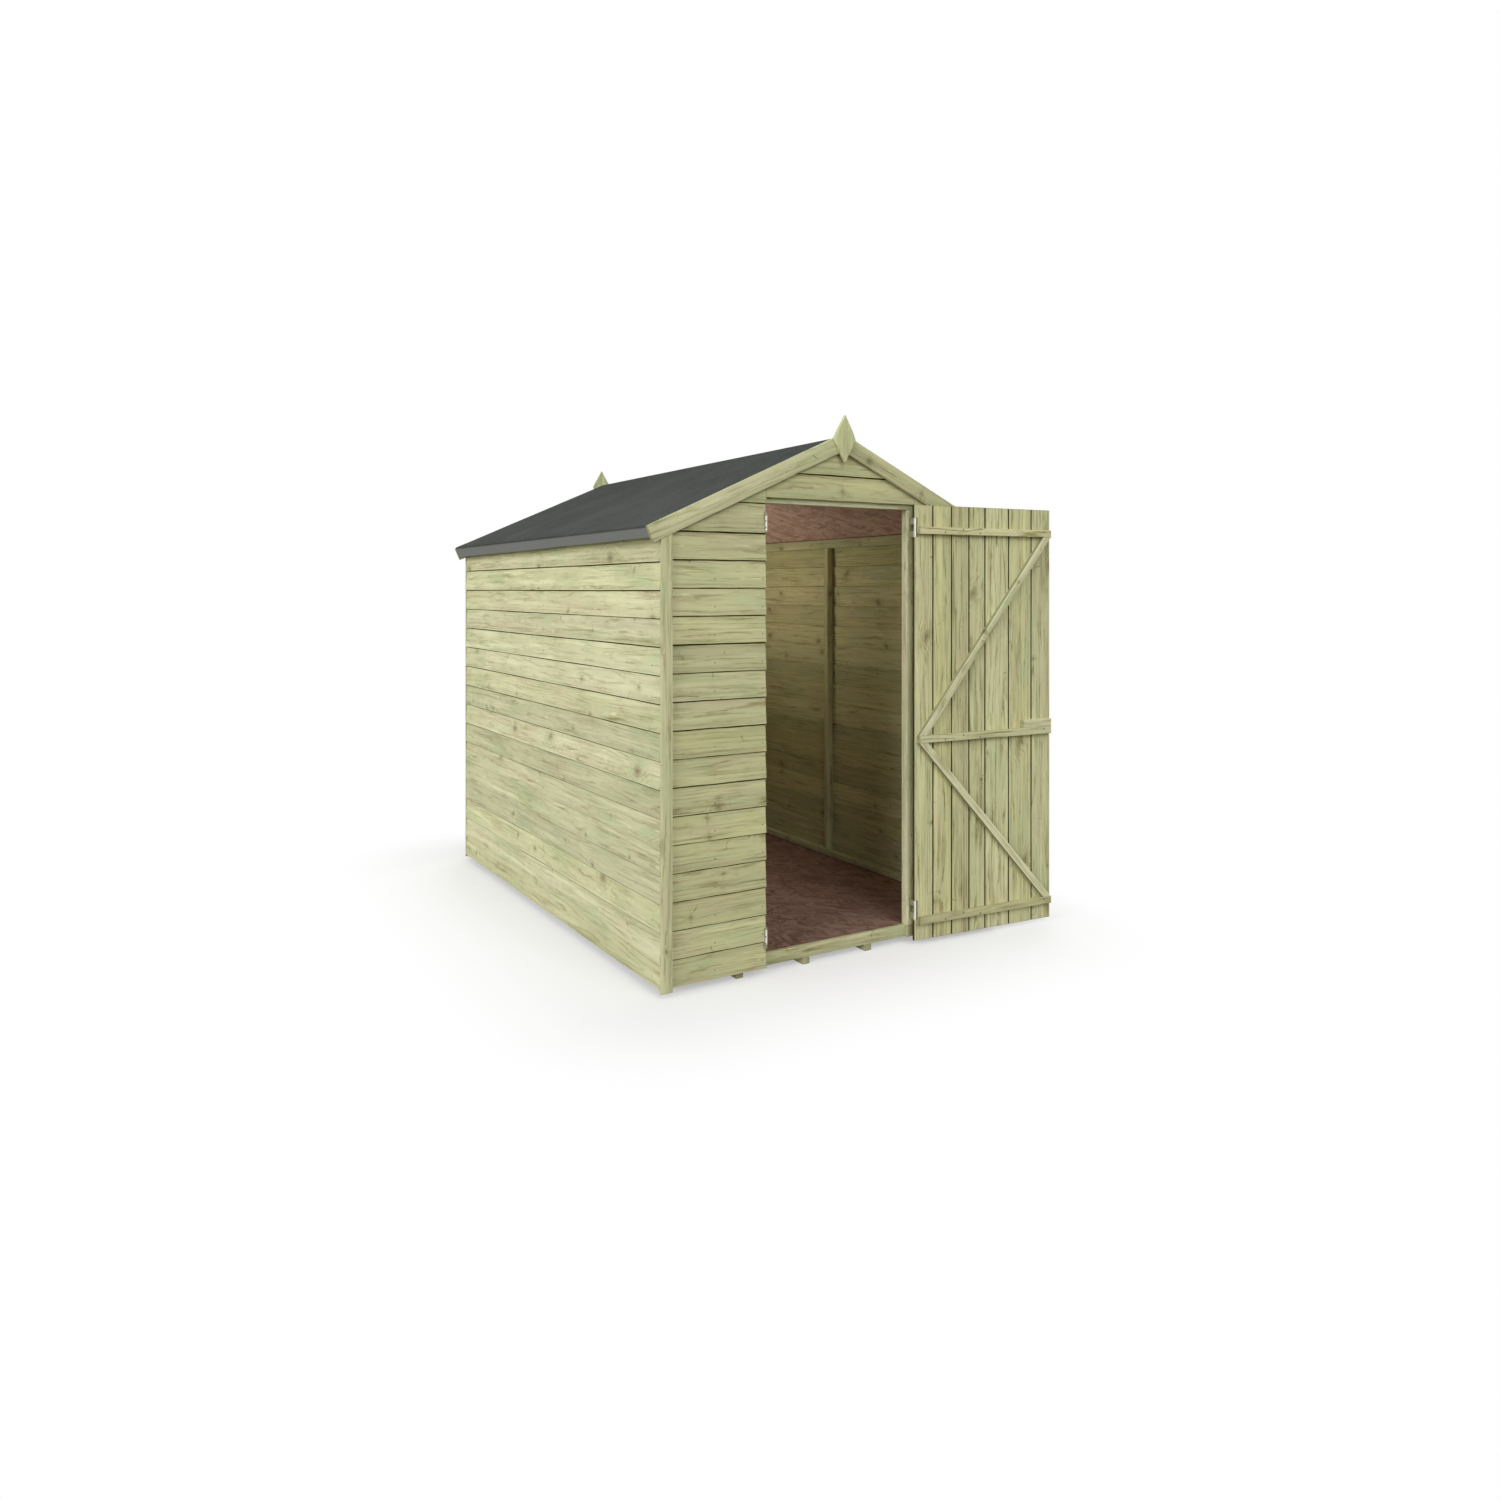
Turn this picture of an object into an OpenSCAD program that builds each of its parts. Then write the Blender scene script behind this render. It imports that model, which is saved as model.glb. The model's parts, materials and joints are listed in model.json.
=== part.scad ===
// Overlap-clad apex garden shed: felted roof, kite finials and one ledged and braced door.
// Millimetres. Origin on the ground at the centre of the plan, front facing -Y, +Z up.
// The door is drawn as photographed, swung right back on its hinges.

/* [Walls] */
// Width over the side cladding
wall_w = 1520; // [1360:10:1800]
// Length over the gable cladding
wall_d = 2130; // [1800:10:2600]
// Height of the lowest cladding edge above the ground
wall_base = 27; // [18:1:40]
// Depth of the wall framing behind the cladding
frame_d = 32; // [24:1:45]
// Width of studs, rails and rafters
stud_w = 28; // [20:1:40]

/* [Cladding] */
// Thickness of an overlap board
board_t = 8; // [6:0.5:12]
// Height over which one board covers the next
board_lap = 14; // [8:1:25]
// Visible height of the lowest board
first_board = 94.2; // [80:0.1:130]
// Visible height of the other side wall boards
board_step = 96.1; // [80:0.1:130]
// Visible height of the other end wall boards
end_step = 96.7; // [80:0.1:130]
// Visible height of the gable boards
gable_step = 114; // [90:1:140]

/* [Floor] */
// Height of the bearers
bearer_h = 25; // [18:1:60]
// Width of the bearers
bearer_w = 30; // [20:1:60]
// Number of bearers
bearers = 4; // [3:1:5]
// Distance between bearer centres
bearer_pitch = 287; // [240:1:320]
// Height of the floor edge boards
edge_h = 44; // [30:1:80]
// Thickness of the floor edge boards
edge_t = 18; // [12:1:30]
// Number of floor joists
joists = 5; // [3:1:7]
// Thickness of the floor sheet
floor_sheet_t = 9; // [6:1:18]
// Distance of the floor edge behind the face of the framing
floor_inset = 10; // [4:1:20]

/* [Doorway] */
// Clear width between the door posts
doorway_w = 654; // [560:1:760]
// Centre of the doorway, measured from the centre of the front
doorway_shift = 0; // [-40:1:40]
// Height of the lintel's underside above the ground
head_h = 1680; // [1500:1:1900]
// Height of lintel that shows below the gable boards
head_reveal = 20; // [0:1:24]
// Drop of the gable boards beside the doorway, below the lintel's underside
gable_drop = 1; // [0:1:20]
// Width of the door posts
post_w = 40; // [32:1:60]
// Width of post that shows beside the cladding, on the free side
jamb_free = 7; // [6:0.5:12]
// Width of post that shows beside the cladding, on the hinge side
jamb_hinge = 26; // [22:0.5:30]

/* [Roof] */
// Height of the ridge above the lintel's underside
gable_h = 259; // [240:1:330]
// Pitch of the roof
pitch = 23.6; // [20:0.1:26]
// Overhang of the eaves beyond the side cladding
eaves_over = 55; // [45:1:90]
// Thickness of the roof sheets
roof_sheet_t = 9; // [6:1:18]
// Thickness of the felt
felt_t = 2; // [1:0.5:4]
// Depth of the felt turned down over the eaves
felt_drop = 45; // [36:1:70]
// Width of the eaves rails
eaves_rail_w = 28; // [16:1:30]
// Width of the ridge beam
ridge_beam_w = 40; // [28:1:60]
// Depth of the ridge beam
ridge_beam_h = 45; // [30:1:80]

/* [Trim] */
// Depth of the bargeboards
barge_h = 61; // [50:1:80]
// Thickness of the bargeboards
barge_t = 11; // [8:0.5:16]
// Rise of the front bargeboards above the felt at the ridge
barge_rise = 11; // [0:1:20]
// Drop of the back bargeboards below the felt
barge_drop = 6; // [0:1:8]
// Width of the corner strips
strip_w = 43; // [30:1:60]
// Thickness of the corner strips
strip_t = 11; // [8:0.5:16]
// Height of the foot of the corner strips above the ground
strip_base = 17; // [6:1:24]
// Width of a finial
finial_w = 104; // [70:1:140]
// Height of a finial above its widest line
finial_top = 88; // [60:1:140]
// Height of a finial below its widest line
finial_tail = 85; // [50:1:110]
// Rise of the finial's point above the ridge
finial_rise = 76; // [50:1:120]
// Thickness of a finial
finial_t = 12; // [8:1:24]
// Width of the flat on the face of a finial
finial_flat = 66; // [40:1:68]

/* [Door] */
// Height of the door above the lintel's underside
door_head_lap = 18; // [8:1:19]
// Width of the door that covers the cladding on the free side
door_free_lap = 6; // [0:1:12]
// Height of the foot of the door above the ground
door_base = 20; // [10:1:40]
// Thickness of the door boards
door_t = 12; // [10:0.5:16]
// Depth of the chamfers that make the V joints
door_chamfer = 2.5; // [1:0.5:4]
// Air gap between the closed door and the cladding
door_gap = 11; // [11:0.5:15]
// Height of a ledge
ledge_h = 28; // [22:1:60]
// Thickness of ledges and braces
ledge_t = 20; // [12:0.5:21]
// Distance of the ledges from the hinge edge of the door
ledge_hinge_inset = 14; // [14:1:40]
// Distance of the ledges from the free edge of the door
ledge_free_inset = 13; // [13:1:60]
// Height of the bottom ledge's centre above the ground
ledge_low = 97; // [90:1:140]
// Height of the middle ledge's centre above the ground
ledge_mid = 795; // [700:1:900]
// Drop of the top ledge's centre below the lintel's underside
ledge_drop = 80; // [60:1:160]
// Width of a brace
brace_w = 28; // [20:1:60]
// Length of the lock block
block_w = 146; // [80:1:200]
// Height of the lock block
block_h = 33; // [20:1:60]
// Swing of the open door from its closed place
door_open = 176; // [90:1:176]

/* [Hinges] */
// Height of a hinge
hinge_h = 74; // [50:1:100]
// Height of the lower hinge's centre above the ground
hinge_low = 135; // [125:1:300]
// Drop of the upper hinge's centre below the lintel's underside
hinge_drop = 69; // [60:1:240]
// Thickness of the hinge plates
hinge_plate_t = 2; // [1:0.5:3]
// Width of the plate on the post
hinge_plate_w = 16; // [12:1:20]
// Distance of the pins from the hinge edge of the door
pin_inset = 11.5; // [9:0.5:14]
// Diameter of the knuckles
knuckle_d = 9; // [8:0.5:11]
// Diameter of the hinge pins
pin_d = 5; // [3:0.5:6]
// Width of the free jamb plates on the face of the cladding
jamb_plate_w = 9; // [6:1:16]

/* [Hidden] */
$fn = 48;

// Small gap between pieces that meet at a cut or a mitre
fit = 0.5;
// Gap under a sloping face where one piece is seated on another
seat = 0.3;
// Radial running clearance of a hinge pin
pin_clear = 0.05;
// Gap between neighbouring knuckles
knuckle_gap = 0.5;
// Gap between a knuckle and the plate on the door
plate_gap = 1;
// Gap above and below a hinge in its notch
notch_gap = 1;
// Gap between the closed door's hinge edge and the line of the cladding's edge
hinge_edge_gap = 1;
// Gap between neighbouring door boards
tongue_gap = 0.4;
// Relative widths of the door boards, from the hinge edge
door_board_shares = [91, 91, 87, 81, 122, 120, 102];

timber = [0.74, 0.74, 0.56];
frame_timber = [0.66, 0.65, 0.47];
strand_board = [0.51, 0.40, 0.35];
felt_grey = [0.29, 0.31, 0.29];
zinc = [0.80, 0.80, 0.78];

clad_d = 2 * board_t;
frame_w = wall_w - 2 * clad_d;
frame_l = wall_d - 2 * clad_d;
front_y = -wall_d / 2;
post_y = -frame_l / 2;
floor_top = bearer_h + edge_h;
floor_w = frame_w - 2 * floor_inset;
floor_l = frame_l - 2 * floor_inset;
joist_h = edge_h - floor_sheet_t;
deck_l = floor_l - 2 * edge_t;

doorway_left = doorway_shift - doorway_w / 2;
doorway_right = doorway_shift + doorway_w / 2;
clad_left = doorway_left - jamb_free;
clad_right = doorway_right + jamb_hinge;
gable_base = head_h - gable_drop;

ridge_h = head_h + gable_h;
roof_t = felt_t + roof_sheet_t;
frame_n = roof_t + seat;
rafter_n = frame_n + stud_w;
eaves_x = wall_w / 2 + eaves_over;
eaves_s = eaves_x / cos(pitch);
ridge_y = frame_l / 2 - frame_d;
front_top = ridge_h + barge_rise;
front_pitch = atan((front_top - roof_z(eaves_x, 0)) / eaves_x);
back_top = ridge_h - barge_drop;

door_edge = clad_right - hinge_edge_gap;
door_w = door_edge - clad_left + door_free_lap;
door_h = head_h + door_head_lap - door_base;
ledge_high = head_h - ledge_drop;
hinge_high = head_h - hinge_drop;
hinge_heights = [hinge_low, hinge_high];
knuckle_r = knuckle_d / 2;
notch_d = knuckle_r + plate_gap + hinge_plate_t;
pin_x = door_edge - pin_inset;
pin_y = front_y - door_gap - door_t / 2;
share_sum = share_before(len(door_board_shares));

// Sum of the first k relative board widths
function share_before(k) = k == 0 ? 0 : door_board_shares[k - 1] + share_before(k - 1);

// Height of a line n below a slope that falls from an apex, at a distance x from the centre
function slope_z(x, n, apex, angle) = apex - x * tan(angle) - n / cos(angle);

// Height of the surface n below the roof's top, at a distance x from the ridge
function roof_z(x, n) = slope_z(x, n, ridge_h, pitch);

// Distance from the ridge at which the surface n below the roof's top has the height z
function roof_x(z, n) = (ridge_h - n / cos(pitch) - z) / tan(pitch);

// Point s down the right slope and n below the roof's top
function slope_point(s, n) = [s * cos(pitch) - n * sin(pitch), ridge_h - s * sin(pitch) - n * cos(pitch)];

// Heights of the lower edges of the boards up to a limit
function wall_laps(limit, step) = concat(
    [wall_base],
    [for (z = wall_base + first_board; z < limit - board_lap; z = z + step) z]
);

// Heights of the lower edges of the front and back boards: wall boards, then gable boards
function gable_laps() = concat(
    wall_laps(gable_base - end_step / 2, end_step),
    [for (z = gable_base; z < roof_z(0, roof_t) - board_lap; z = z + gable_step) z]
);

// Saw-tooth outline of lapped boards: offset from the framing, then height
function lap_top(laps, k, top) = k + 1 < len(laps) ? min(laps[k + 1] + board_lap, top) : top;
function lap_lean(laps, k, top, z) = board_t * (z - laps[k]) / (lap_top(laps, k, top) - laps[k]);
function lap_outline(laps, top) = concat(
    [for (k = [0 : len(laps) - 1]) each [
        [clad_d, laps[k]],
        let (z = k + 1 < len(laps) ? laps[k + 1] : top) [clad_d - lap_lean(laps, k, top, z), z]
    ]],
    [for (k = [len(laps) - 1 : -1 : 0]) each [
        [0, lap_top(laps, k, top)],
        let (z = k > 0 ? lap_top(laps, k - 1, top) : laps[0]) [board_t - lap_lean(laps, k, top, z), z]
    ]]
);

// Extrudes an outline in X and Z from y0 to y1
module along_y(y0, y1) {
    translate([0, y1, 0]) rotate([90, 0, 0]) linear_extrude(y1 - y0) children();
}

// Lapped boards on a wall facing +X, running along Y
module lapped_boards(laps, top, length) {
    along_y(-length / 2, length / 2) polygon(lap_outline(laps, top));
}

// Everything lower than two slopes, given by their heights at the centre and at the sides
module under_gable(centre_z, side_z, half_w, y0, y1) {
    along_y(y0, y1) polygon([
        [-half_w, 0],
        [half_w, 0],
        [half_w, side_z],
        [0, centre_z],
        [-half_w, side_z]
    ]);
}

// Side wall cladding on the right
module side_boards() {
    wall_top = roof_z(wall_w / 2, roof_t) - fit;
    translate([frame_w / 2, 0, 0]) lapped_boards(wall_laps(wall_top, board_step), wall_top, wall_d);
}

// End wall cladding on the front, up to the roof sheets
module gable_boards() {
    half_w = frame_w / 2 - fit;
    n = roof_t + fit;
    intersection() {
        rotate([0, 0, -90]) translate([frame_l / 2, 0, 0])
            lapped_boards(gable_laps(), roof_z(0, roof_t), wall_w);
        under_gable(roof_z(0, n), roof_z(half_w, n), half_w, front_y - 1, front_y + clad_d + 1);
    }
}

// Front cladding between two distances from the centre and two heights
module front_boards(x0, x1, z0, z1) {
    intersection() {
        gable_boards();
        translate([x0, front_y - 1, z0]) cube([x1 - x0, clad_d + 2, z1 - z0]);
    }
}

// Stud of the right-hand wall
module side_stud(y) {
    z0 = floor_top + stud_w;
    z1 = roof_z(frame_w / 2, frame_n) - stud_w;
    translate([frame_w / 2 - frame_d, y, z0]) cube([frame_d, stud_w, z1 - z0]);
}

module side_studs() {
    for (y = [-ridge_y, -stud_w / 2, ridge_y - stud_w]) side_stud(y);
}

module side_rails() {
    outer = frame_w / 2;
    inner = outer - frame_d;
    low = roof_z(outer, frame_n) - stud_w;
    translate([inner, -ridge_y, floor_top]) cube([frame_d, 2 * ridge_y, stud_w]);
    along_y(-ridge_y, ridge_y) polygon([
        [inner, low],
        [outer, low],
        [outer, roof_z(outer, frame_n)],
        [inner, roof_z(inner, frame_n)]
    ]);
}

// Corner studs of an end wall, cut under the rafters, on the front
module end_corner_studs() {
    half_w = frame_w / 2;
    n = rafter_n + seat;
    intersection() {
        under_gable(roof_z(0, n), roof_z(half_w, n), half_w, post_y, -ridge_y);
        for (x = [-half_w, half_w - stud_w])
            translate([x, post_y, floor_top]) cube([stud_w, frame_d, ridge_h]);
    }
}

// Rail across an end wall at door head height, with its ends cut under the rafters, on the front
module head_rail() {
    low = roof_x(head_h, rafter_n + seat);
    high = roof_x(head_h + stud_w, rafter_n + seat);
    along_y(post_y, -ridge_y) polygon([
        [-low, head_h],
        [low, head_h],
        [high, head_h + stud_w],
        [-high, head_h + stud_w]
    ]);
}

// Right-hand rafter of the front gable
module rafter() {
    outer = frame_w / 2;
    along_y(post_y, -ridge_y) polygon([
        [fit, roof_z(fit, rafter_n)],
        [outer, roof_z(outer, rafter_n)],
        [outer, roof_z(outer, frame_n)],
        [fit, roof_z(fit, frame_n)]
    ]);
}

// Sheet on the right roof slope, mitred at the ridge
module roof_sheet() {
    edge_s = eaves_s - felt_t;
    along_y(front_y, -front_y) polygon([
        [0, roof_z(0, felt_t)],
        slope_point(edge_s, felt_t),
        slope_point(edge_s, roof_t),
        [0, roof_z(0, roof_t)]
    ]);
}

// Felt on the right slope, turned down over the eaves
module felt() {
    along_y(front_y, -front_y) polygon([
        [0, roof_z(0, 0)],
        slope_point(eaves_s, 0),
        slope_point(eaves_s, felt_drop),
        slope_point(eaves_s - felt_t, felt_drop),
        slope_point(eaves_s - felt_t, felt_t),
        [0, roof_z(0, felt_t)]
    ]);
}

// Rail under the right-hand eaves, inside the turned-down felt
module eaves_rail() {
    outer_s = eaves_s - felt_t - seat;
    low_n = felt_drop - felt_t;
    along_y(front_y, -front_y) polygon([
        slope_point(outer_s - eaves_rail_w, frame_n),
        slope_point(outer_s, frame_n),
        slope_point(outer_s, low_n),
        slope_point(outer_s - eaves_rail_w, low_n)
    ]);
}

// Strips over the two front corners, cut under bargeboards of a given apex and pitch
module corner_strips(apex, angle) {
    half_w = wall_w / 2;
    n = barge_h + fit;
    side_z = slope_z(half_w, n, apex, angle);
    intersection() {
        under_gable(slope_z(0, n, apex, angle), side_z, half_w, front_y - strip_t, front_y);
        for (x = [-half_w, half_w - strip_w])
            translate([x, front_y - strip_t, strip_base]) cube([strip_w, strip_t, ridge_h]);
    }
}

// Right-hand bargeboard of the front gable, square at the eaves and mitred at the ridge
module bargeboard(apex, angle) {
    foot = [eaves_x, slope_z(eaves_x, 0, apex, angle)];
    along_y(front_y - barge_t, front_y) polygon([
        [0, apex],
        foot,
        foot - barge_h * [sin(angle), cos(angle)],
        [0, slope_z(0, barge_h, apex, angle)]
    ]);
}

// Kite-shaped finial with bevelled edges, on the front bargeboards
module finial() {
    back = front_y - barge_t;
    face = back - finial_t;
    mid_z = ridge_h + finial_rise - finial_top;
    half = finial_w / 2;
    intersection() {
        along_y(face, back) polygon([
            [0, mid_z - finial_tail],
            [half, mid_z],
            [0, mid_z + finial_top],
            [-half, mid_z]
        ]);
        translate([0, 0, mid_z - finial_tail]) linear_extrude(finial_tail + finial_top) polygon([
            [-half, back],
            [-half, back - finial_t / 2],
            [-finial_flat / 2, face],
            [finial_flat / 2, face],
            [half, back - finial_t / 2],
            [half, back]
        ]);
    }
}

// Turns the closed door about its hinge pins to the place where it is drawn
module swing() {
    translate([pin_x, pin_y, 0]) rotate([0, 0, door_open]) children();
}

// Bar on the inner face of the closed door, between two distances from the hinge edge
module door_bar(x0, x1, z0, z1) {
    translate([pin_inset - x1, door_t / 2, z0]) cube([x1 - x0, ledge_t, z1 - z0]);
}

// Brace from the hinge end of the middle ledge to the free end of another ledge
module brace(z_mid, z_end) {
    near = pin_inset - ledge_hinge_inset;
    far = pin_inset - door_w + ledge_free_inset;
    rise = abs(z_end - z_mid);
    foot = brace_w * sqrt(rise * rise + (far - near) * (far - near)) / rise;
    translate([0, door_t / 2 + ledge_t, 0]) rotate([90, 0, 0]) linear_extrude(ledge_t) polygon([
        [near, z_mid],
        [near - foot, z_mid],
        [far, z_end],
        [far + foot, z_end]
    ]);
}

// Knuckle around the pin line between two heights
module knuckle(z0, z1) {
    translate([0, 0, z0]) cylinder(h = z1 - z0, d = knuckle_d);
}

// Frame half of a hinge, its pin with it, measured from the pin line and the hinge's centre
module frame_hinge() {
    third = hinge_h / 3;
    plate_y = post_y - pin_y - hinge_plate_t;
    translate([pin_inset - hinge_plate_w, plate_y, -hinge_h / 2])
        cube([hinge_plate_w, hinge_plate_t, hinge_h]);
    for (z = [-hinge_h / 2, third / 2 + knuckle_gap / 2]) {
        knuckle(z, z + third - knuckle_gap / 2);
        translate([plate_gap, 0, z])
            cube([hinge_plate_t, plate_y + hinge_plate_t / 2, third - knuckle_gap / 2]);
    }
    translate([0, 0, -hinge_h / 2]) cylinder(h = hinge_h, d = pin_d);
}

// Door half of a hinge in the door's notch, measured from the pin line and the hinge's centre
module door_hinge() {
    third = hinge_h / 3;
    z0 = -third / 2 + knuckle_gap / 2;
    z1 = third / 2 - knuckle_gap / 2;
    difference() {
        union() {
            knuckle(z0, z1);
            translate([-notch_d, -hinge_plate_t / 2, z0]) cube([notch_d, hinge_plate_t, z1 - z0]);
            translate([-notch_d, -door_t / 2, -hinge_h / 2]) cube([hinge_plate_t, door_t, hinge_h]);
        }
        translate([0, 0, z0 - 1]) cylinder(h = z1 - z0 + 2, d = pin_d + 2 * pin_clear);
    }
}

module floor_bearers() {
    color(frame_timber)
        for (i = [0 : bearers - 1])
            translate([(i - (bearers - 1) / 2) * bearer_pitch - bearer_w / 2, -floor_l / 2, 0])
                cube([bearer_w, floor_l, bearer_h]);
}

module floor_joists() {
    step = (deck_l - stud_w) / (joists - 1);
    color(frame_timber)
        for (i = [0 : joists - 1])
            translate([-floor_w / 2, -deck_l / 2 + i * step, bearer_h]) cube([floor_w, stud_w, joist_h]);
}

module floor_sheet() {
    color(strand_board)
        translate([-floor_w / 2, -deck_l / 2, bearer_h + joist_h]) cube([floor_w, deck_l, floor_sheet_t]);
}

module threshold_board() {
    color(timber) translate([-floor_w / 2, -floor_l / 2, bearer_h]) cube([floor_w, edge_t, edge_h]);
}

module back_edge_board() {
    color(timber) translate([-floor_w / 2, floor_l / 2 - edge_t, bearer_h]) cube([floor_w, edge_t, edge_h]);
}

module right_cladding() { color(timber) side_boards(); }

module left_cladding() { color(timber) mirror([1, 0, 0]) side_boards(); }

module back_cladding() { color(timber) mirror([0, 1, 0]) gable_boards(); }

module front_left_cladding() { color(timber) front_boards(-wall_w / 2, clad_left, 0, gable_base); }

module front_right_cladding() { color(timber) front_boards(clad_right, wall_w / 2, 0, gable_base); }

module front_gable_cladding() {
    color(timber) difference() {
        front_boards(-wall_w / 2, wall_w / 2, gable_base, ridge_h);
        translate([clad_left, front_y - 1, 0])
            cube([clad_right - clad_left, clad_d + 2, head_h + head_reveal]);
    }
}

module right_wall_rails() { color(frame_timber) side_rails(); }

module left_wall_rails() { color(frame_timber) mirror([1, 0, 0]) side_rails(); }

module right_wall_studs() { color(frame_timber) side_studs(); }

module left_wall_studs() { color(frame_timber) mirror([1, 0, 0]) side_studs(); }

module back_wall_rails() {
    inner = frame_w / 2 - stud_w;
    color(frame_timber) {
        mirror([0, 1, 0]) head_rail();
        translate([-inner, ridge_y, floor_top]) cube([2 * inner, frame_d, stud_w]);
    }
}

module back_wall_studs() {
    color(frame_timber) {
        mirror([0, 1, 0]) end_corner_studs();
        translate([-stud_w / 2, ridge_y, floor_top + stud_w])
            cube([stud_w, frame_d, head_h - floor_top - stud_w]);
    }
}

module front_wall_rails() {
    inner = frame_w / 2 - stud_w;
    left_end = doorway_left - post_w;
    right_end = doorway_right + post_w;
    color(frame_timber) {
        translate([-inner, post_y, floor_top]) cube([inner + left_end, frame_d, stud_w]);
        translate([right_end, post_y, floor_top]) cube([inner - right_end, frame_d, stud_w]);
    }
}

module front_wall_studs() { color(frame_timber) end_corner_studs(); }

module left_door_post() {
    color(timber)
        translate([doorway_left - post_w, post_y, floor_top]) cube([post_w, frame_d, head_h - floor_top]);
}

// The hinge post is notched over the edge of the floor
module right_door_post() {
    toe_d = floor_inset - fit;
    color(timber) {
        translate([doorway_right, post_y, floor_top]) cube([post_w, frame_d, head_h - floor_top]);
        translate([doorway_right, post_y, bearer_h]) cube([post_w, toe_d, edge_h]);
    }
}

module door_lintel() { color(timber) head_rail(); }

module gable_rafters() {
    color(frame_timber)
        for (front = [0, 1], left = [0, 1])
            mirror([0, 1 - front, 0]) mirror([left, 0, 0]) rafter();
}

module ridge_beam() {
    half = ridge_beam_w / 2;
    low = roof_z(half, frame_n) - ridge_beam_h;
    color(frame_timber) along_y(-ridge_y, ridge_y) polygon([
        [-half, low],
        [half, low],
        [half, roof_z(half, frame_n)],
        [0, roof_z(0, frame_n)],
        [-half, roof_z(half, frame_n)]
    ]);
}

module eaves_rails() {
    color(frame_timber) {
        eaves_rail();
        mirror([1, 0, 0]) eaves_rail();
    }
}

module right_roof_sheet() { color(strand_board) roof_sheet(); }

module left_roof_sheet() { color(strand_board) mirror([1, 0, 0]) roof_sheet(); }

module right_roof_felt() { color(felt_grey) felt(); }

module left_roof_felt() { color(felt_grey) mirror([1, 0, 0]) felt(); }

module front_corner_strips() { color(timber) corner_strips(front_top, front_pitch); }

module back_corner_strips() { color(timber) mirror([0, 1, 0]) corner_strips(back_top, pitch); }

module front_right_bargeboard() { color(timber) bargeboard(front_top, front_pitch); }

module front_left_bargeboard() { color(timber) mirror([1, 0, 0]) bargeboard(front_top, front_pitch); }

module back_right_bargeboard() { color(timber) mirror([0, 1, 0]) bargeboard(back_top, pitch); }

module back_left_bargeboard() {
    color(timber) mirror([0, 1, 0]) mirror([1, 0, 0]) bargeboard(back_top, pitch);
}

module front_finial() { color(timber) finial(); }

module back_finial() { color(timber) mirror([0, 1, 0]) finial(); }

module frame_hinges() {
    color(zinc)
        for (z = hinge_heights)
            translate([pin_x, pin_y, z]) frame_hinge();
}

// Angle plates round the cladding's edge on the free side of the doorway, level with the hinges
module jamb_plates() {
    t = hinge_plate_t;
    color(zinc)
        for (z = hinge_heights)
            translate([clad_left, front_y, z - hinge_h / 2]) linear_extrude(hinge_h) polygon([
                [-jamb_plate_w, -t],
                [t, -t],
                [t, clad_d],
                [0, clad_d],
                [0, 0],
                [-jamb_plate_w, 0]
            ]);
}

// Boards with V joints, the first one notched for the hinges
module door_boards() {
    c = door_chamfer;
    t = door_t / 2;
    notch_h = hinge_h + 2 * notch_gap;
    color(timber) swing() difference() {
        for (k = [0 : len(door_board_shares) - 1]) {
            a = pin_inset - door_w * share_before(k) / share_sum - tongue_gap / 2;
            b = pin_inset - door_w * share_before(k + 1) / share_sum + tongue_gap / 2;
            translate([0, 0, door_base]) linear_extrude(door_h) polygon([
                [a - c, -t], [a, -t + c], [a, t - c], [a - c, t],
                [b + c, t], [b, t - c], [b, -t + c], [b + c, -t]
            ]);
        }
        for (z = hinge_heights)
            translate([-notch_d, -door_t, z - notch_h / 2])
                cube([notch_d + pin_inset + 1, 2 * door_t, notch_h]);
    }
}

module door_ledges() {
    color(timber) swing()
        for (z = [ledge_low, ledge_mid, ledge_high])
            door_bar(ledge_hinge_inset, door_w - ledge_free_inset, z - ledge_h / 2, z + ledge_h / 2);
}

module door_braces() {
    color(timber) swing() {
        brace(ledge_mid + ledge_h / 2, ledge_high - ledge_h / 2);
        brace(ledge_mid - ledge_h / 2, ledge_low + ledge_h / 2);
    }
}

module lock_block() {
    x1 = door_w - ledge_free_inset;
    z0 = ledge_mid + ledge_h / 2;
    color(timber) swing() door_bar(x1 - block_w, x1, z0, z0 + block_h);
}

module door_hinges() {
    color(zinc) swing()
        for (z = hinge_heights)
            translate([0, 0, z]) door_hinge();
}

floor_bearers();
floor_joists();
floor_sheet();
threshold_board();
back_edge_board();
left_cladding();
right_cladding();
back_cladding();
front_left_cladding();
front_right_cladding();
front_gable_cladding();
left_wall_rails();
left_wall_studs();
right_wall_rails();
right_wall_studs();
back_wall_rails();
back_wall_studs();
front_wall_rails();
front_wall_studs();
left_door_post();
right_door_post();
door_lintel();
gable_rafters();
ridge_beam();
eaves_rails();
left_roof_sheet();
right_roof_sheet();
left_roof_felt();
right_roof_felt();
front_corner_strips();
back_corner_strips();
front_left_bargeboard();
front_right_bargeboard();
back_left_bargeboard();
back_right_bargeboard();
front_finial();
back_finial();
frame_hinges();
jamb_plates();
door_boards();
door_ledges();
door_braces();
lock_block();
door_hinges();
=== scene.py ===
"""Looks of an overlap-clad garden shed: boards, framing, felted roof, trim, braced door and its hinges."""

import json
import math

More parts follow.
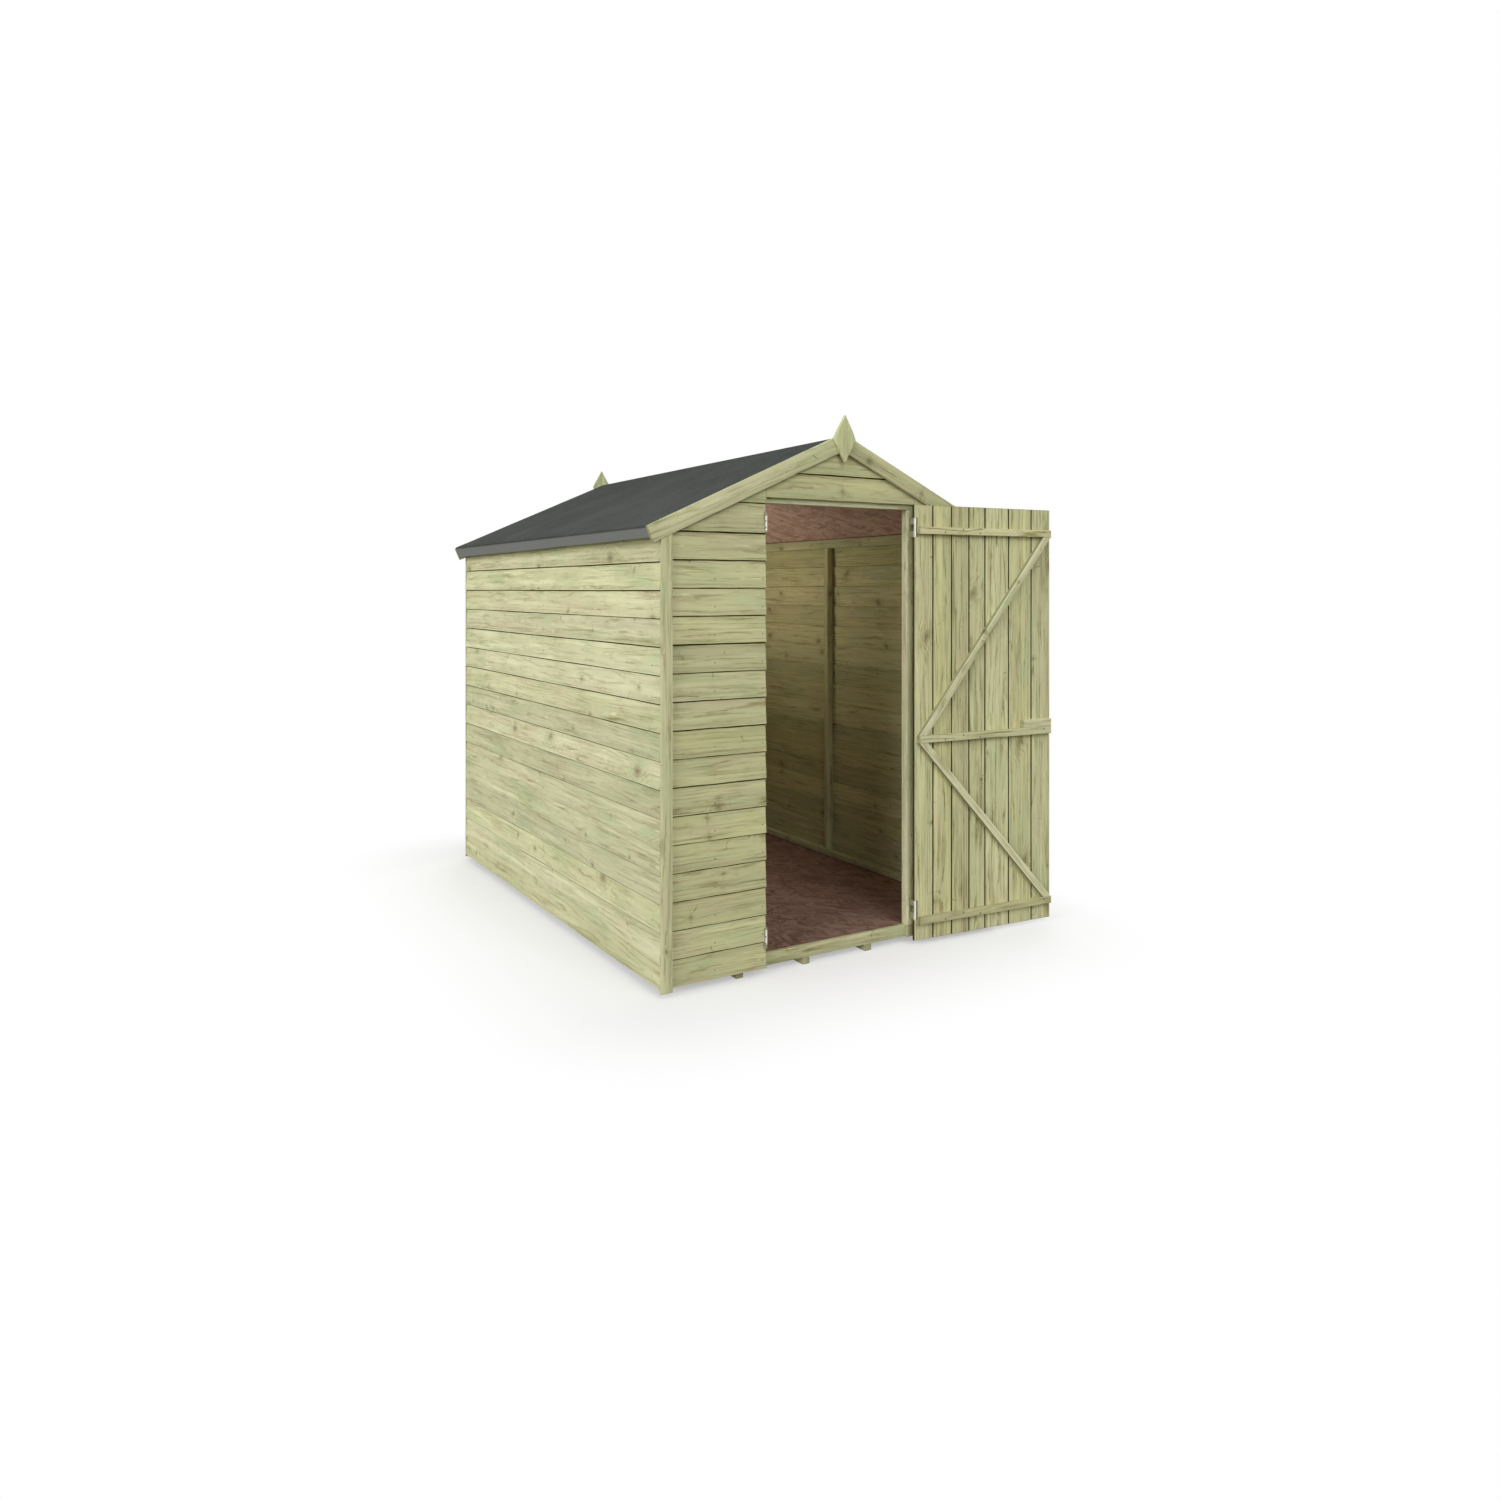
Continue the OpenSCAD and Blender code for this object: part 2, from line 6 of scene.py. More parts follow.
import bpy
import numpy as np
from bpy.props import FloatProperty, FloatVectorProperty, PointerProperty
from bpy.types import Operator, Panel, PropertyGroup
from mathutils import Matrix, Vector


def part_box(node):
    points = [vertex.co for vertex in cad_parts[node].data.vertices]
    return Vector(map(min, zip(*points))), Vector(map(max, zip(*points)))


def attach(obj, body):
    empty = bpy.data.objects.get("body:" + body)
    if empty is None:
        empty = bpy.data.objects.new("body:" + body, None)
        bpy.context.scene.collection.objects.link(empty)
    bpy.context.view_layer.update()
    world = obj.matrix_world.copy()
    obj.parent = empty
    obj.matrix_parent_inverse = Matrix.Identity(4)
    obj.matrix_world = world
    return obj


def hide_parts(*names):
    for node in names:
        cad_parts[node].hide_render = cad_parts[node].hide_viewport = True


bl_info = {
    "name": "Garden Shed",
    "version": (1, 0, 0),
    "blender": (4, 5, 0),
    "location": "3D View > Sidebar > Shed",
    "description": "Dresses a wooden garden shed with boards, grain, felt and fittings",
    "category": "Add Mesh",
}

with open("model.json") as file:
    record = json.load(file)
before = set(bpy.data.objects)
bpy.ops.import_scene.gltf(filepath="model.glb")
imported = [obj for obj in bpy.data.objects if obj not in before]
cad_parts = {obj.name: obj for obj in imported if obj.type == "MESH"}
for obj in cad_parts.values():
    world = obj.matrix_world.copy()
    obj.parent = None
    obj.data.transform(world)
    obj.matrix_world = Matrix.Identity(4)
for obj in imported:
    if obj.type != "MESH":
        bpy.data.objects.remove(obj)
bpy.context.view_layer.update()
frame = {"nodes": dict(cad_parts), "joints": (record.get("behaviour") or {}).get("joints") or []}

# Places read from the solids, in metres and radians
SWING = frame["joints"][0]
PIN = SWING["pos_m"]
OPEN = math.radians(SWING["range_deg"][1])
CLAD_BACK, _, WALL_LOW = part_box("right_cladding")[0]
WALL_X, WALL_Y, SIDE_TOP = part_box("right_cladding")[1]
CLAD_DEPTH = WALL_X - CLAD_BACK
FRAME_X = WALL_X - CLAD_DEPTH
FRAME_Y = WALL_Y - CLAD_DEPTH
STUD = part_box("front_wall_rails")[1].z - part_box("front_wall_rails")[0].z
FRAME_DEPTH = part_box("left_door_post")[1].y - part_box("left_door_post")[0].y
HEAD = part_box("left_door_post")[1].z
DOORWAY, _, TOE_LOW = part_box("right_door_post")[0]
POST_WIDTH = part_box("right_door_post")[1].x - DOORWAY
FLOOR_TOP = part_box("floor_sheet")[1].z
EAVES_X, _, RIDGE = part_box("right_roof_felt")[1]
CLAD_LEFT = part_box("front_left_cladding")[1].x
CLAD_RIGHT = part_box("front_right_cladding")[0].x
GABLE_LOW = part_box("front_gable_cladding")[0].z
BARGE_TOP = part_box("front_right_bargeboard")[1].z
BACK_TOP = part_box("back_right_bargeboard")[1].z
TRIM_Y = -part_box("front_right_bargeboard")[0].y
STRIP_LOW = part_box("front_corner_strips")[0].z
FINIAL_LOW, FINIAL_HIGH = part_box("front_finial")
DOOR_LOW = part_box("door_boards")[0].z
DOOR_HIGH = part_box("door_boards")[1].z

# Sizes that the solids have too, in metres and radians
PITCH = math.radians(23.6)
ROOF_DEPTH = 0.0113
HEAD_REVEAL = 0.020
GABLE_STEP = 0.114
HINGE_HEIGHTS = (0.135, 1.611)
DOOR_SHARES = (91, 91, 87, 81, 122, 120, 102)
DOOR_CLEARANCE = 0.001
DOOR_OVERLAP = 0.006
BEARER_WIDTH = 0.030
TOE_DEPTH = 0.0095
STRIP_WIDTH = 0.043
BARGE_DEPTH = 0.061
EAVES_RAIL_WIDTH = 0.028
EAVES_RAIL_DEPTH = 0.043
KITE_WAIST = 0.088
KITE_FLAT = 0.033

# Gaps under the roof, between pieces that meet, and at ends that stay hidden
SEAT = 0.0003
GAP = 0.0005
SHORT = 0.002

# Sizes that follow from those above
EAVES_Z = RIDGE - EAVES_X * math.tan(PITCH)
BARGE_PITCH = math.atan((BARGE_TOP - EAVES_Z) / EAVES_X)
DOOR_WIDTH = CLAD_RIGHT - DOOR_CLEARANCE - CLAD_LEFT + DOOR_OVERLAP
SIDE_STUDS = (-FRAME_Y + FRAME_DEPTH + STUD / 2, 0.0, FRAME_Y - FRAME_DEPTH - STUD / 2)

# Directions, and turns that carry a piece to another side
UP = np.array([0.0, 0.0, 1.0])
EAST = np.array([1.0, 0.0, 0.0])
NORTH = np.array([0.0, 1.0, 0.0])
FLIP_X = np.array([-1.0, 1.0, 1.0])
FLIP_Y = np.array([1.0, -1.0, 1.0])
AS_IT_IS = np.ones(3)
HANDS = (("right", AS_IT_IS), ("left", FLIP_X))

# Strength of the grain in each timber
TIMBERS = {"wall_timber": 0.95, "sawn_framing": 0.9, "treated_boards": 1.0, "door_timber": 1.35}

# Ranges of hue and tone: hue goes from pale to honey, tone from dark to light
PALE_HUES = (0.0, 0.4)
# Paler hues of the head rails: on the lintel they are painted light that lifts the shade under the gable
# boards
LIT_HEAD_HUES = (0.0, 0.1)
HONEY_HUES = (0.6, 1.0)
# Pale, light marks: on the door posts they are painted light that lifts the shade in the doorway; the lock
# block is just pale
PALE_AND_LIT = {"hue": (0.0, 0.05), "tone": (0.9, 1.0)}
BRACE_MARKS = {"hue": (0.1, 0.3), "tone": (0.7, 1.0)}

# First seed of each run of boards, so that every board has a grain of its own
SEEDS = {
    "left": 100, "right": 140, "back": 200, "front_left": 240, "front_right": 280, "over_door": 328,
    "gable": 339, "low_rail": 400, "high_rail": 410, "side_stud": 420, "end_stud": 450, "head": 460,
    "rafter": 470, "sole": 480, "back_stud": 490, "left_post": 495, "right_post": 496, "bearer": 500,
    "joist": 510, "edge_board": 520, "felt": 600, "ridge": 610, "eaves": 620, "strip": 700, "barge": 740,
    "kite": 770, "plank": 800, "tongue": 810, "ledge": 820, "brace": 830, "lock": 840,
}

# Each board starts somewhere in this length of grain, and a bar's marks come after these draws
GRAIN_RANGE = 50.0
DRAWS_PASSED_OVER = 12

# Distance between a bar's stations, and angles over which an edge stays sharp
BAR_SPACING = 0.08
BOARD_CREASE = 0.6
HEAD_CREASE = 0.9


def number(label, words, default, **kind):
    """A number property, with a unit or subtype where one fits."""
    return FloatProperty(name=label, description=words, default=default, **kind)


def length(label, words, default):
    """A length property in metres."""
    return number(label, words, default, min=0.0, unit="LENGTH", precision=4)


def tint(label, words, default):
    """A linear colour property."""
    return FloatVectorProperty(name=label, description=words, default=default, min=0.0, max=1.0,
                               subtype="COLOR")


class ShedTimber(PropertyGroup):
    """Sizes and colours of the treated timber."""
    first_board: length("First board", "Visible height of the lowest cladding board", 0.0942)
    board_step: length("Board step", "Visible height of the other side wall boards", 0.0961)
    end_step: length("End wall step", "Visible height of the other end wall boards", 0.0967)
    board_cover: length("Board cover", "Height over which one board covers the next", 0.014)
    board_thick: length("Board thickness", "Thickness of a cladding board", 0.007)
    board_edge: length("Board edge", "Rounding of the cladding boards' edges", 0.0016)
    arris: length("Arris", "Rounding of the edges of framing and trim", 0.0016)
    bow: length("Bow", "Greatest wander of a board from its line", 0.0011)
    pale: tint("Pale", "Timber bleached by the light", (0.690, 0.685, 0.462))
    honey: tint("Honey", "Timber with the colour of the treatment", (0.590, 0.575, 0.295))
    sage: tint("Sage", "Green left by the pressure treatment", (0.460, 0.515, 0.285))
    blush: tint("Blush", "Warm heartwood", (0.590, 0.515, 0.340))
    fibre: tint("Fibre", "Dark lines of the grain", (0.235, 0.205, 0.075))
    knot: tint("Knot", "Rim of a knot", (0.150, 0.115, 0.045))
    # Crevice colour: painted shade in the joints, under the laps and at the board ends, where shade falls
    crevice_shade: tint("Crevice", "Residue left in the joints and laps", (0.034, 0.027, 0.006))


class ShedRoof(PropertyGroup):
    """Sizes and colours of the roof and of the strand boards."""
    felt_thick: length("Felt thickness", "Thickness of the felt", 0.002)
    hem_front: length("Hem at the front", "Depth of turned-down felt at the front of the eaves", 0.041)
    hem_back: length("Hem at the back", "Depth of turned-down felt at the back of the eaves", 0.052)
    ripple: length("Ripple", "Height of the felt's ripples", 0.0012)
    slate: tint("Slate", "Mineral surface of the felt", (0.043, 0.048, 0.042))
    hem: tint("Hem", "Paler face of the turned-down felt", (0.205, 0.212, 0.205))
    strand_pale: tint("Pale strands", "Palest strands of the roof sheets", (0.690, 0.470, 0.400))
    strand_dark: tint("Dark strands", "Darkest strands of the roof sheets", (0.390, 0.240, 0.195))
    floor_pale: tint("Pale floor strands", "Palest strands of the floor sheet", (0.300, 0.190, 0.150))
    floor_dark: tint("Dark floor strands", "Darkest strands of the floor sheet", (0.150, 0.085, 0.062))


class ShedDoor(PropertyGroup):
    """Sizes of the ledged and braced door."""
    thick: length("Board thickness", "Thickness of the door boards", 0.012)
    vee: length("V joint", "Depth of the chamfers between boards", 0.0025)
    joint: length("Joint", "Gap between neighbouring boards", 0.0018)
    pin_inset: length("Pin inset", "Distance of the pins from the hinge edge", 0.0115)
    notch: length("Notch", "Reach of the hinge notch past the pins", 0.0075)
    hinge_height: length("Hinge height", "Height of a hinge", 0.074)
    ledge_height: length("Ledge height", "Height of a ledge", 0.028)
    ledge_thick: length("Ledge thickness", "Thickness of ledges and braces", 0.020)
    hinge_inset: length("Hinge inset", "Distance of the ledges from the hinge edge", 0.014)
    free_inset: length("Free inset", "Distance of the ledges from the free edge", 0.013)
    ledge_low: length("Bottom ledge", "Height of the bottom ledge", 0.097)
    ledge_mid: length("Middle ledge", "Height of the middle ledge", 0.795)
    ledge_high: length("Top ledge", "Height of the top ledge", 1.600)
    brace_width: length("Brace width", "Width of a brace", 0.028)
    block_length: length("Block length", "Length of the lock block", 0.146)
    block_height: length("Block height", "Height of the lock block", 0.033)


class ShedFittings(PropertyGroup):
    """Sizes and colours of nails, screws and plates."""
    nail: length("Nail head", "Radius of a nail head", 0.0026)
    nail_rise: length("Nail rise", "Height of a nail head over its board", 0.0008)
    nail_lift: length("Nail lift", "Height of the nails over their boards' lower edges", 0.030)
    screw: length("Screw head", "Radius of a door screw's head", 0.0036)
    plate_screw: length("Plate screw head", "Radius of a plate screw's head", 0.0027)
    screw_rise: length("Screw rise", "Height of a screw head over its seat", 0.0006)
    zinc: tint("Zinc", "Bright zinc plate", (0.850, 0.840, 0.790))
    # The leaf colour dulls the plates where they show no bright zinc; on the hinges that is all but a painted
    # highlight
    leaf: tint("Leaf", "Plates stained by the treatment", (0.330, 0.315, 0.180))
    steel: tint("Steel", "Dull steel of the nails", (0.150, 0.140, 0.100))


class ShedStage(PropertyGroup):
    """Camera, lamps and floor."""
    lens: number("Lens", "Focal length in millimetres", 25.54, unit="CAMERA")
    eye: FloatVectorProperty(name="Eye", description="Place of the camera", default=(-2.409, -4.230, 1.371),
                             subtype="TRANSLATION", unit="LENGTH")
    yaw: number("Yaw", "Turn of the camera", math.radians(-30.24), subtype="ANGLE")
    shift: FloatVectorProperty(name="Shift", description="Shift of the lens",
                               default=(0.0263, -0.1069), size=2)
    sky: number("Sky", "Strength of the even light all round", 0.33)
    side: number("Side", "Strength of the soft light from the left", 2.20)
    front: number("Front", "Strength of the soft light on the front", 1.46)
    back: number("Back", "Strength of the soft light from behind", 1.0)
    inside: number("Inside", "Power of the lamp inside the shed in watts", 19.0, unit="POWER")
    glow: tint("Glow", "Colour of the lamp inside the shed", (1.0, 0.95, 0.83))
    floor: tint("Floor", "Colour of the floor as seen", (0.95, 0.95, 0.95))
    bounce: tint("Bounce", "Colour of the floor for the light it throws back", (0.27, 0.26, 0.23))


class Value:
    """A shader value: arithmetic on it adds Math nodes."""

    def __init__(self, shader, socket):
        self.shader = shader
        self.socket = socket

    def math(self, operation, *inputs):
        """A Math node on the inputs, in their order."""
        return self.shader.node("ShaderNodeMath", {"operation": operation}, dict(enumerate(inputs)))["Value"]

    def __add__(self, other):
        return self.math("ADD", self, other)

    def __sub__(self, other):
        return self.math("SUBTRACT", self, other)

    def __rsub__(self, other):
        return self.math("SUBTRACT", other, self)

    def __mul__(self, other):
        return self.math("MULTIPLY", self, other)

    def __truediv__(self, other):
        return self.math("DIVIDE", self, other)

    def __rtruediv__(self, other):
        return self.math("DIVIDE", other, self)

    def __abs__(self):
        return self.math("ABSOLUTE", self)

    __radd__ = __add__
    __rmul__ = __mul__

    def root(self):
        return self.math("SQRT", self)

    def fraction(self):
        return self.math("FRACT", self)

    def greater(self, other):
        return self.math("MAXIMUM", self, other)

    def band(self, low, high, start=0.0, end=1.0):
        """Smooth step from start to end as the value goes from low to high."""
        inputs = {"Value": self, "From Min": low, "From Max": high, "To Min": start, "To Max": end}
        return self.shader.node("ShaderNodeMapRange", {"interpolation_type": "SMOOTHSTEP"}, inputs)["Result"]

    def fall(self, low, high, start=1.0):
        """Smooth step from start down to nil as the value goes from low to high."""
        return self.band(low, high, start, 0.0)


class Made:
    """A shader node whose outputs are read by name or number."""

    def __init__(self, shader, node):
        self.shader = shader
        self.node = node

    def __getitem__(self, name):
        return Value(self.shader, self.node.outputs[name])


class Shader:
    """A node tree: one method adds any node, the others are short forms of it."""

    def __init__(self, tree):
        self.tree = tree
        tree.nodes.clear()

    def node(self, kind, settings=None, inputs=None):
        """A node of a kind: its settings first, then the values and links of its sockets."""
        made = self.tree.nodes.new(kind)
        for name, value in (settings or {}).items():
            setattr(made, name, value)
        for name, value in (inputs or {}).items():
            if isinstance(value, Value):
                self.tree.links.new(value.socket, made.inputs[name])
            else:
                made.inputs[name].default_value = value
        return Made(self, made)

    def attribute(self, name):
        """The three numbers of a point attribute."""
        return self.split(self.node("ShaderNodeAttribute", {"attribute_name": name})["Vector"])

    def object_place(self):
        return self.node("ShaderNodeTexCoord")["Object"]

    def split(self, vector):
        made = self.node("ShaderNodeSeparateXYZ", inputs={"Vector": vector})
        return made["X"], made["Y"], made["Z"]

    def join(self, x, y, z=0.0):
        return self.node("ShaderNodeCombineXYZ", inputs={"X": x, "Y": y, "Z": z})["Vector"]

    def noise(self, vector, scale=1.0, detail=2.0, rough=0.5):
        inputs = {"Vector": vector, "Scale": scale, "Detail": detail, "Roughness": rough}
        return self.node("ShaderNodeTexNoise", inputs=inputs)["Fac"]

    def cells(self, x, y):
        """Nearest of scattered points in the plane: offsets to it in x and y, and three random numbers."""
        settings = {"voronoi_dimensions": "2D", "feature": "F1"}
        made = self.node("ShaderNodeTexVoronoi", settings, {"Vector": self.join(x, y), "Scale": 1.0})
        near_x, near_y, _ = self.split(made["Position"])
        return near_x - x, near_y - y, self.split(made["Color"])

    def mix(self, factor, first, second, blend="MIX"):
        """Two colours mixed by a factor: a Mix node takes them in sockets 6 and 7 and gives output 2."""
        settings = {"data_type": "RGBA", "blend_type": blend, "clamp_factor": True}
        return self.node("ShaderNodeMix", settings, {0: factor, 6: first, 7: second})[2]

    def times(self, first, second):
        """Two colours multiplied."""
        return self.mix(1.0, first, second, "MULTIPLY")

    def bump(self, height, strength, distance):
        inputs = {"Height": height, "Strength": strength, "Distance": distance}
        return self.node("ShaderNodeBump", inputs=inputs)["Normal"]

    def surface(self, inputs):
        """Principled surface joined to the output."""
        made = self.node("ShaderNodeBsdfPrincipled", inputs=inputs)
        self.node("ShaderNodeOutputMaterial", inputs={"Surface": made["BSDF"]})


def new_shader(name):
    """An empty material and the shader that fills it."""
    material = bpy.data.materials.new(name)
    material.use_nodes = True
    return material, Shader(material.node_tree)


def rgba(colour, share=1.0):
    """A share of a colour, as a socket takes it."""
    return (*(part * share for part in colour), 1.0)


def grey(level):
    """A grey of one level, as a socket takes it."""
    return rgba((level, level, level))


def timber_material(name, timber, depth):
    """Timber in the board's own lengths: rings round a slanting pith, knots, fibres, painted shade in the
    joints and painted highlights.
    """
    material, s = new_shader(name)
    x, y, z = s.attribute("wood")
    tone, hue, seed = s.attribute("board")
    low, lap, end = s.attribute("edge")

    def drawn_out(along, across, shift, detail=4.0, rough=0.6, start=0.0, lift=0.0):
        """Noise scaled along and across the grain, and shifted along it by the board's seed."""
        place = s.join(x * along + seed * shift + start, y * across + lift, z * across)
        return s.noise(place, 1.0, detail, rough)

    slow = drawn_out(1.1, 11.0, 31.0, 2.0, 0.5) - 0.5
    mid = drawn_out(6.0, 34.0, 13.0, 3.0) - 0.5
    streak = drawn_out(3.4, 66.0, 7.0, rough=0.62)
    bands = drawn_out(1.5, 26.0, 91.0)
    patch = drawn_out(2.4, 8.0, 51.0, rough=0.62)
    stain = drawn_out(2.0, 7.0, 57.0, start=5.0, lift=3.0)
    smudge = drawn_out(8.0, 27.0, 19.0, 5.0, 0.66, lift=7.0)
    fleck = drawn_out(11.0, 75.0, 29.0, lift=2.0)
    fine = s.noise(s.join(x * 6.0, y * 260.0 + seed * 17.0, z * 260.0), 1.0, 3.0, 0.65)
    knot, halo = knots(s, x, y, seed)
    check = checks(s, x, y, seed, mid)

    # Year rings round the pith, which lies below the face at a depth and side of each board's own
    rings_a_metre = 82.0
    aside = y - (hue - 0.5) * 0.05 - (seed - 0.5) * 0.10 + slow * 0.030
    below = z + 0.010 + tone * 0.050 + slow * 0.042
    from_pith = (aside * aside + below * below).root()
    ring = (from_pith * rings_a_metre + slow * 4.0 + mid * 1.1 + halo * 2.0).fraction()
    late = ring.band(0.20, 0.95)
    crisp = ring.band(0.68, 0.88) * ring.fall(0.92, 0.99) * mid.band(-0.06, 0.10)

    # Body colour, with warm and green patches
    ground = s.mix(hue, rgba(timber.pale), rgba(timber.honey))
    heart = patch.band(0.42, 0.68, 0.0, 0.58) + (seed * 5.7).fraction() * 0.32
    green = stain.band(0.45, 0.67, 0.0, 0.60) + (seed * 11.3).fraction() * 0.30
    body = s.mix(green, s.mix(heart, ground, rgba(timber.blush)), rgba(timber.sage))

    # Dark grain, then bleached places and a painted highlight along edges, knots and checks over it
    drawn = streak.band(0.47, 0.70) * patch.band(0.36, 0.60, 0.35, 1.0)
    lines = late * 0.08 + crisp * 0.46 + drawn * 0.46 + fine.band(0.46, 0.80) * 0.18
    grain = lines * hue.band(0.0, 0.8, 0.78, 1.0) + smudge.band(0.52, 0.78) * 0.42
    grained = s.mix(grain * depth, body, rgba(timber.fibre))
    tone_change = bands.band(0.47, 0.68, 0.0, 0.60) * streak.band(0.66, 0.42)
    # Besides bleached bands and flecks, a painted highlight runs a few millimetres in from the edge that low
    # measures
    bleach_and_highlight = tone_change.greater(fleck.band(0.58, 0.76, 0.0, 0.65)).greater(low.fall(0.0026, 0.0085, 0.55))
    bleached_and_highlit = s.mix(bleach_and_highlight, grained, s.times(ground, grey(1.16)))
    knotted = s.mix(knot * 0.62 + halo * 0.16, bleached_and_highlit, rgba(timber.knot))
    checked = s.mix(check * 0.78, knotted, rgba(timber.knot))
    toned = s.times(checked, s.mix(tone, rgba((0.89, 0.89, 0.88)), grey(1.11)))

    # Painted shade in the joints: darker under the lap above, along the lower edge and at the ends
    ragged = lap + (mid + 0.5) * 0.0020
    lap_and_edge_shade = ragged.fall(0.0042, 0.0064).greater(low.fall(0.0012, 0.0024))
    dark = lap_and_edge_shade.greater(end.fall(0.0004, 0.0030, 0.35))
    height = late * 0.4 + fine * 0.7 + streak * 0.5 - knot * 0.4 - check
    s.surface({
        "Base Color": s.mix(dark * 0.95, toned, rgba(timber.crevice_shade)),
        "Roughness": (fine * 0.16 + 0.74).greater(dark),
        "Specular IOR Level": 0.06,
        "Normal": s.bump(height, 0.6, 0.0008),
    })
    return material


def knots(s, x, y, seed):
    """Knots at scattered points: a dark rim and heart over an ellipse, and a halo that bends the rings."""
    along, across = 2.3, 8.0
    du, dv, (pick, gate, twist) = s.cells(x * along, y * across + seed * 53.0)
    du, dv = du / along, dv / across
    radius = pick * pick * 0.0120 + 0.0040
    present = gate.band(0.42, 0.44)
    skew = du * 0.70 + dv * (twist - 0.5) * 1.2
    wobble = s.noise(s.join(x * 160.0, y * 160.0)) - 0.5
    near = (skew * skew + dv * dv).root() / radius + wobble * 0.9
    rim = near.band(0.40, 0.95) * near.fall(0.95, 1.70) * 0.45
    core = near.fall(0.10, 1.50) * 0.85
    smear = abs(du).fall(0.0, 0.010) * abs(dv).fall(0.010, 0.042) * 0.35
    return present * rim.greater(core).greater(smear * twist), present * near.fall(0.6, 4.4)


def checks(s, x, y, seed, mid):
    """Short cracks across the grain: a wavering thin line at scattered points, of random length and slant."""
    along, across = 3.2, 8.0
    du, dv, (pick, gate, turn) = s.cells(x * along + 11.0, y * across + seed * 97.0)
    du, dv = du / along, dv / across
    wander = s.noise(s.join(seed * 40.0 + pick * 9.0, y * 70.0)) - 0.5
    aside = abs(du + dv * (turn - 0.5) * 1.5 + wander * 0.030)
    reach = pick * 0.018 + 0.006
    line = aside.fall(0.0007, 0.0034) * (abs(dv) / reach).fall(0.4, 1.0)
    return line * gate.band(0.50, 0.52) * (mid + 0.5).band(0.30, 0.60)


def strand_material(name, pale, dark):
    """Pressed strands: three layers of long flat cells, each turned its own way, swirls, and painted shade
    along the sides.
    """
    material, s = new_shader(name)
    x, y, _ = s.split(s.object_place())
    wander = s.noise(s.join(x * 5.0, y * 5.0)) - 0.5
    shade, top = None, None
    for turn, keep in ((0.25, 0.0), (1.35, 0.45), (2.45, 0.55)):
        u = x * math.cos(turn) + y * math.sin(turn) + wander * 0.060
        v = y * math.cos(turn) - x * math.sin(turn) + wander * 0.044
        du, dv, (pick, gate, tilt) = s.cells(u * 11.0, v * 62.0)
        fibre = s.noise(s.join(u * 20.0 + pick * 9.0, v * 420.0, pick * 30.0))
        layer = pick * 0.55 + fibre * 0.45
        lift = pick + tilt * (du + dv)
        if shade is None:
            shade, top = layer, lift
        else:
            cover = gate.band(keep, keep + 0.02)
            shade = shade + (layer - shade) * cover
            top = top + (lift - top) * cover
    swirl = (s.noise(s.join(x * 9.0, y * 9.0), rough=0.55) * 7.0).fraction()
    broken = s.noise(s.join(x * 13.0 + 4.0, y * 13.0)).band(0.48, 0.60)
    light = swirl.band(0.80, 0.86) * swirl.fall(0.88, 0.94) * broken
    shadow = swirl.band(0.60, 0.68) * swirl.fall(0.70, 0.78) * broken
    colour = s.mix(shade.band(0.10, 0.90), rgba(dark), rgba(pale))
    lined = s.mix(light * 0.45, colour, rgba(pale, 1.25))
    # Painted shade along the sides, where the sheet meets the wall framing; the light and shadow swirls are
    # pale and dark lines of the strands
    wall = FRAME_X - FRAME_DEPTH
    sides = abs(x).band(wall - 0.012, wall - 0.003, 0.0, 0.75)
    s.surface({
        "Base Color": s.mix((shadow * 0.55).greater(sides), lined, rgba(dark, 0.35)),
        "Roughness": shade * 0.2 + 0.68,
        "Specular IOR Level": 0.12,
        "Normal": s.bump(top, 0.25, 0.0010),
    })
    return material


def felt_material(name, roof):
    """Mineral felt: grains over slow patches, darker to the ridge, paler where an attribute marks the hem."""
    material, s = new_shader(name)
    place = s.object_place()
    _, _, rise = s.split(place)
    hem, _, _ = s.attribute("board")
    grain = s.noise(place, 520.0, 2.0, 0.7)
    coarse = s.noise(place, 130.0, 3.0, 0.6)
    patch = s.noise(place, 3.2, 4.0, 0.62)
    slate = s.mix(patch.band(0.32, 0.70), rgba(roof.slate, 0.86), rgba(roof.slate, 1.22))
    # Plainly darker towards the ridge and paler towards the eaves
    tone_change = s.mix(rise.fall(EAVES_Z, RIDGE), grey(0.72), grey(1.05))
    face = s.mix(hem, s.times(slate, tone_change), rgba(roof.hem))
    fleck = s.mix((grain * 0.6 + coarse * 0.4).band(0.44, 0.68), face, rgba((0.42, 0.43, 0.41)))
    s.surface({
        "Base Color": s.mix(0.13, face, fleck),
        "Roughness": grain * 0.1 + 0.88,
        "Specular IOR Level": 0.04,
        "Normal": s.bump(grain + coarse, 0.6, 0.0010),
    })
    return material


def zinc_material(name, colour, metal, leaf=None, bright=None):
    """Plated metal with a faint spangle, dulled to the leaf's colour where a function of place gives nil."""
    material, s = new_shader(name)
    place = s.object_place()
    spangle = s.noise(place, 160.0, 3.0, 0.6)
    smear = s.noise(place, 28.0, 3.0, 0.6)
    shade = s.mix((spangle * 0.5 + smear * 0.5).band(0.3, 0.7), rgba(colour, 0.88), rgba(colour))
    shine = smear.band(0.2, 0.8, metal, metal * 0.8)
    if bright:
        keep = bright(s.split(place), smear)
        shade = s.mix(keep, s.mix(spangle.band(0.3, 0.7), rgba(leaf, 0.85), rgba(leaf)), shade)
        shine = shine * keep
    s.surface({
        "Base Color": shade,
        "Metallic": shine,
        "Roughness": spangle * 0.25 + 0.40,
        "Normal": s.bump(spangle, 0.2, 0.0003),
    })
    return material


